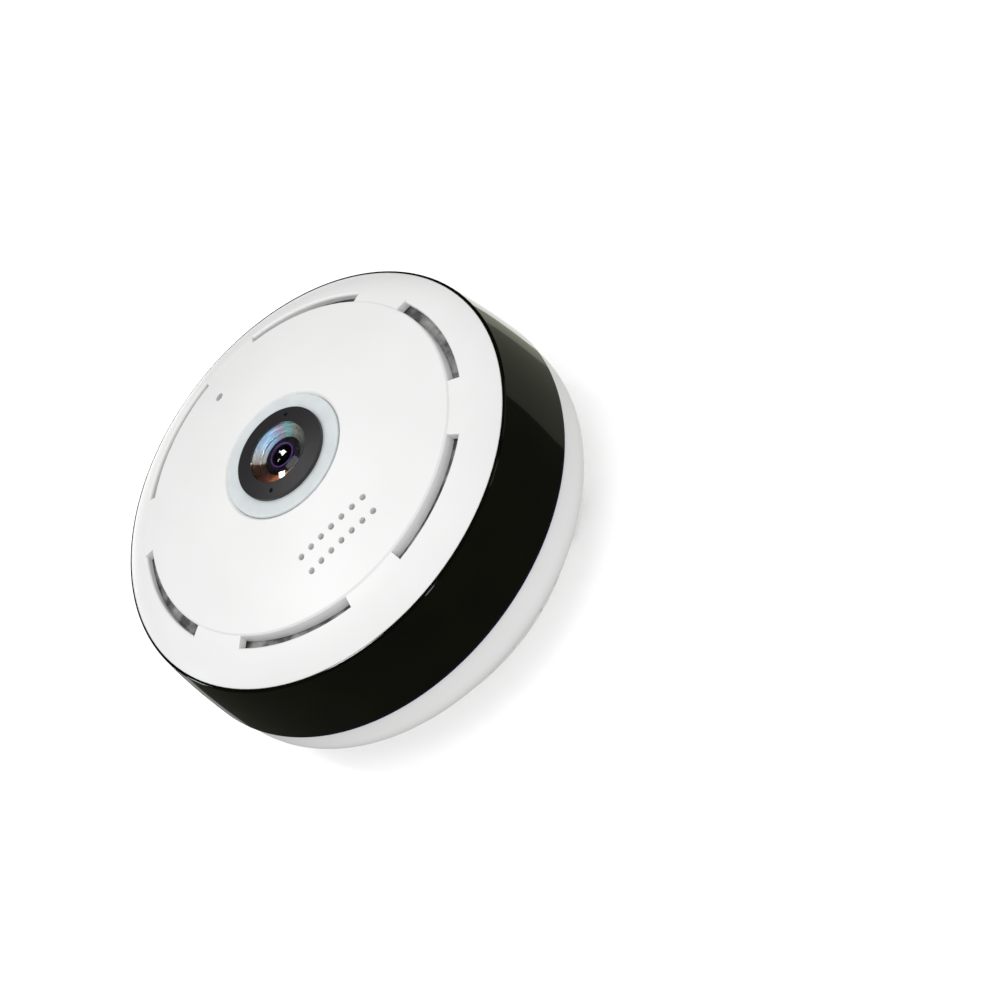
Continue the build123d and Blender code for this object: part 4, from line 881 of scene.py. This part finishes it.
class DOMECAM_OT_lens(bpy.types.Operator):
    """Finish the lens, and make the cone and the violet edge behind its front glass, which carry
    painted reflections.
    """

    bl_idname = "domecam.lens"
    bl_label = "Lens"

    def execute(self, context):
        dress("lens_barrel", "front_glass", "aperture_ring", "middle_lens", "rear_lens")
        dress("lens_spacer", "lens_lock_ring", "lens_holder")
        look = context.scene.camera_lens
        self.make_step(look)
        self.make_edge(look)
        return {"FINISHED"}

    def make_step(self, look):
        """The step, a thin cone that widens upwards under the edge of the front glass, with a
        painted reflection.
        """
        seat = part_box("front_glass")[0].z
        middle, thickness = 6.10 * MM, 0.03 * MM
        front = [
            (look.step_outer, seat + 1.05 * MM), (middle, seat + 0.17 * MM),
            (look.step_inner, seat - 0.53 * MM),
        ]
        back = [(radius + thickness, height - thickness) for radius, height in reversed(front)]
        step = lathe("lens_cone", front + back)
        step.materials.append(painted_lens_reflection())
        new_piece("lens_cone", step, "bezel_plastic")

    def make_edge(self, look):
        """The violet edge, a thin round ring on the stop with a painted violet reflection."""
        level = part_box("aperture_ring")[1].z + 0.05 * MM
        outline = [
            (look.edge_radius + side, level + up)
            for side, up in round_section(look.edge_thickness / 2, 12)
        ]
        edge = lathe("stop_rim", outline)
        edge.materials.append(painted_violet_reflection())
        new_piece("stop_rim", edge, "bezel_plastic")


class DOMECAM_OT_ring(bpy.types.Operator):
    """Finish the frosted ring, its board and its lamps."""

    bl_idname = "domecam.ring"
    bl_label = "Status ring"

    def execute(self, context):
        dress("status_light_ring", "status_light_board", "status_lights")
        return {"FINISHED"}


class DOMECAM_OT_screen(bpy.types.Operator):
    """Finish the dust screen under the arc slots."""

    bl_idname = "domecam.screen"
    bl_label = "Dust screen"

    def execute(self, context):
        dress("dust_screen")
        nodes["dust_screen"].data.materials[0] = woven_screen()
        return {"FINISHED"}


class DOMECAM_OT_slide(bpy.types.Operator):
    """Finish the day and night slide, and wind its coil."""

    bl_idname = "domecam.slide"
    bl_label = "Filter slide and coil"

    def execute(self, context):
        dress("filter_carrier", "infrared_filter", "clear_filter", "filter_magnet", "filter_coil")
        self.wind_coil(context.scene.camera_inner.wire)
        return {"FINISHED"}

    def wind_coil(self, wire):
        """One layer of turns round the coil's core, between its flanges."""
        low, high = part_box("filter_coil")
        centre = (low + high) / 2
        flange, core_radius = 0.9 * MM, 2.4 * MM
        pitch, steps = 2.1 * wire, 20
        length = high.x - low.x - 2 * flange - 2 * wire
        turns = int(length / pitch)
        path, ups = [], []
        for step in range(turns * steps + 1):
            turn = math.tau * step / steps
            up = Vector((0, math.cos(turn), math.sin(turn)))
            x = low.x + flange + wire + length * step / (turns * steps)
            path.append(Vector((x, centre.y, centre.z)) + up * (core_radius + 0.3 * wire))
            ups.append(up)
        section = round_section(wire, 6)
        winding = shaped("coil_turns", lambda shape: sweep(shape, path, section, ups))
        new_piece("coil_turns", winding, "coil_copper")


class DOMECAM_OT_boards(bpy.types.Operator):
    """Finish the boards with their chips and lamps, and set the small parts on them."""

    bl_idname = "domecam.boards"
    bl_label = "Boards"

    def execute(self, context):
        dress("camera_board", "base_board", "infrared_board", "processor_chip", "heat_sink")
        dress("image_sensor", "radio_module", "power_coil", "capacitors", "infrared_lamps")
        dress("light_sensor")
        sides = (-1, 1)
        camera = [(side * x, -y, 90) for side in sides for x in (9, 11.5, 14)
                  for y in (11, 13.5, 16)]
        camera += [(side * x, y, 0) for side in sides for x in (9.5, 12.5) for y in (11, 13, 15)]
        base = [(side * x, y, 0) for side in sides for x in (10, 13) for y in (-4, -2, 0, 2, 4)]
        ring_radius, ring_step = 40.8, 15
        ring = []
        for azimuth in range(0, 360, ring_step):
            turn = math.radians(azimuth)
            ring.append((ring_radius * math.cos(turn), ring_radius * math.sin(turn), azimuth + 90))
        for board, places in (("camera_board", camera), ("base_board", base),
                              ("infrared_board", ring)):
            fitted_board(board + "_parts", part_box(board)[1].z, places)
        self.make_feet()
        return {"FINISHED"}

    def make_feet(self):
        """Square feet under the capacitors' cans, with two cut corners."""
        low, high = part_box("capacitors")
        radius = (high.x - low.x) / 2
        middle = (low.x + high.x) / 2
        centres = [Vector((middle, y, low.z)) for y in (low.y + radius, high.y - radius)]
        half, height, lip = radius + 0.12 * MM, 0.9 * MM, 0.1 * MM
        inner, least = radius + 0.02 * MM, radius + 0.06 * MM

        def edge(turn):
            """How far the foot reaches in a direction."""
            x, y = math.cos(turn), math.sin(turn)
            flat = half / max(abs(x), abs(y))
            cut = 1.62 * half / max(abs(x + y), 1e-6)
            return max(min(flat, cut), least)

        def build(shape):
            for centre in centres:
                rings = []
                for turn in (math.tau * step / 72 for step in range(72)):
                    out, outer = Vector((math.cos(turn), math.sin(turn), 0)), edge(turn)
                    section = ((inner, 0), (outer, 0), (outer, 0.85 * height),
                               (outer - lip, height), (inner, height))
                    rings.append([
                        shape.verts.new(centre + out * reach + Vector((0, 0, rise)))
                        for reach, rise in section
                    ])
                skin(shape, rings, closed=True)

        new_piece("capacitor_feet", shaped("capacitor_feet", build, smooth=False), "chip_epoxy")


class DOMECAM_OT_sockets(bpy.types.Operator):
    """Finish sockets, connectors and the reset switch, and make their contacts."""

    bl_idname = "domecam.sockets"
    bl_label = "Sockets and connectors"

    def execute(self, context):
        dress("power_socket", "power_socket_tongue", "card_socket", "ribbon_connectors")
        dress("ribbon_cable", "wire_connector", "microphone_connector", "reset_switch")
        dress("reset_plunger")
        self.make_contacts()
        self.make_leads(context.scene.camera_inner.lead_pitch)
        return {"FINISHED"}

    def make_contacts(self):
        """Five springy contacts under the tongue of the power socket."""
        low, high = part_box("power_socket_tongue")
        middle, pitch = (low.x + high.x) / 2, 0.65 * MM
        starts = [(middle + step * pitch, low.y, low.z, 1) for step in range(-2, 3)]
        line = ((0.25, -0.02), (0.6, -0.06), (1.6, -0.04), (4.5, -0.04))
        bent_strips("socket_contacts", starts, line, 0.34 * MM, 0.06 * MM)

    def make_leads(self, pitch):
        """Bent leads along the back of the two ribbon connectors."""
        low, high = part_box("ribbon_connectors")
        middle = (low.x + high.x) / 2
        count = int((high.x - low.x) / pitch) - 1
        starts = [
            (middle + (step - (count - 1) / 2) * pitch, high.y, level, way)
            for level, way in ((low.z, 1), (high.z, -1)) for step in range(count)
        ]
        line = ((-0.1, 0.7), (0.3, 0.7), (0.45, 0.6), (0.55, 0.2), (0.7, 0.08), (1.2, 0.08))
        bent_strips("ribbon_leads", starts, line, 0.4 * MM, 0.12 * MM)


class DOMECAM_OT_sound(bpy.types.Operator):
    """Finish the speaker and the microphone, and roll the edge of the speaker's cone."""

    bl_idname = "domecam.sound"
    bl_label = "Speaker and microphone"

    def execute(self, context):
        dress("speaker_frame", "speaker_cone", "speaker_magnet", "speaker_gasket", "speaker_wires")
        dress("microphone", "microphone_boot", "microphone_wires")
        self.roll_edge(context.scene.camera_inner.roll)
        return {"FINISHED"}

    def roll_edge(self, roll):
        """The half-round roll along the cone's edge, which is a rounded rectangle."""
        low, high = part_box("speaker_cone")
        centre = (low + high) / 2
        top = high.z - 0.3 * MM
        out = Vector((centre.x, centre.y, 0)).normalized()
        across = Vector((-out.y, out.x, 0))
        near, far, bend = 6.0 * MM, 11.0 * MM, 2.2 * MM
        path = []
        for turn in (math.tau * step / 64 for step in range(64)):
            a = math.copysign(near - bend, math.cos(turn)) + bend * math.cos(turn)
            b = math.copysign(far - bend, math.sin(turn)) + bend * math.sin(turn)
            path.append(Vector((centre.x, centre.y, top)) + a * out + b * across)
        half = [(roll * math.cos(turn), roll * math.sin(turn))
                for turn in (math.pi * step / 6 for step in range(7))]
        ups = [Vector((0, 0, 1))] * len(path)
        edge = shaped("cone_roll", lambda shape: sweep(shape, path, half, ups, closed=True))
        new_piece("cone_roll", edge, "soft_rubber")


class DOMECAM_OT_structure(bpy.types.Operator):
    """Finish the frame, the screws and the aerial."""

    bl_idname = "domecam.structure"
    bl_label = "Frame, screws and aerial"

    def execute(self, context):
        dress("inner_frame", "housing_screws", "base_board_screws", "camera_board_screws")
        dress("lens_holder_screws", "radio_antenna", "antenna_cable")
        return {"FINISHED"}


class DOMECAM_PT_sidebar(bpy.types.Panel):
    """The dressing steps and their settings."""

    bl_idname = "DOMECAM_PT_sidebar"
    bl_label = "Ceiling Camera"
    bl_space_type = "VIEW_3D"
    bl_region_type = "UI"
    bl_category = "Ceiling Camera"

    def draw(self, context):
        for step in STEPS:
            self.layout.operator(step.bl_idname)
        for name in LOOKS:
            look = getattr(context.scene, name)
            column = self.layout.column()
            for value in look.__annotations__:
                column.prop(look, value)


STEPS = (
    DOMECAM_OT_stage, DOMECAM_OT_shells, DOMECAM_OT_lens, DOMECAM_OT_ring, DOMECAM_OT_screen,
    DOMECAM_OT_slide, DOMECAM_OT_boards, DOMECAM_OT_sockets, DOMECAM_OT_sound,
    DOMECAM_OT_structure,
)
LOOKS = {
    "camera_shell": ShellLook, "camera_lens": LensLook, "camera_inner": InnerLook,
    "camera_studio": StudioLook,
}


def register():
    for kind in (*LOOKS.values(), *STEPS, DOMECAM_PT_sidebar):
        bpy.utils.register_class(kind)
    for name, look in LOOKS.items():
        setattr(bpy.types.Scene, name, PointerProperty(type=look))


def unregister():
    for name in LOOKS:
        delattr(bpy.types.Scene, name)
    for kind in reversed((*LOOKS.values(), *STEPS, DOMECAM_PT_sidebar)):
        bpy.utils.unregister_class(kind)


def main():
    register()
    bpy.ops.domecam.stage()
    bpy.ops.domecam.shells()
    bpy.ops.domecam.lens()
    bpy.ops.domecam.ring()
    bpy.ops.domecam.screen()
    bpy.ops.domecam.slide()
    bpy.ops.domecam.boards()
    bpy.ops.domecam.sockets()
    bpy.ops.domecam.sound()
    bpy.ops.domecam.structure()


if __name__ == "__main__":
    main()
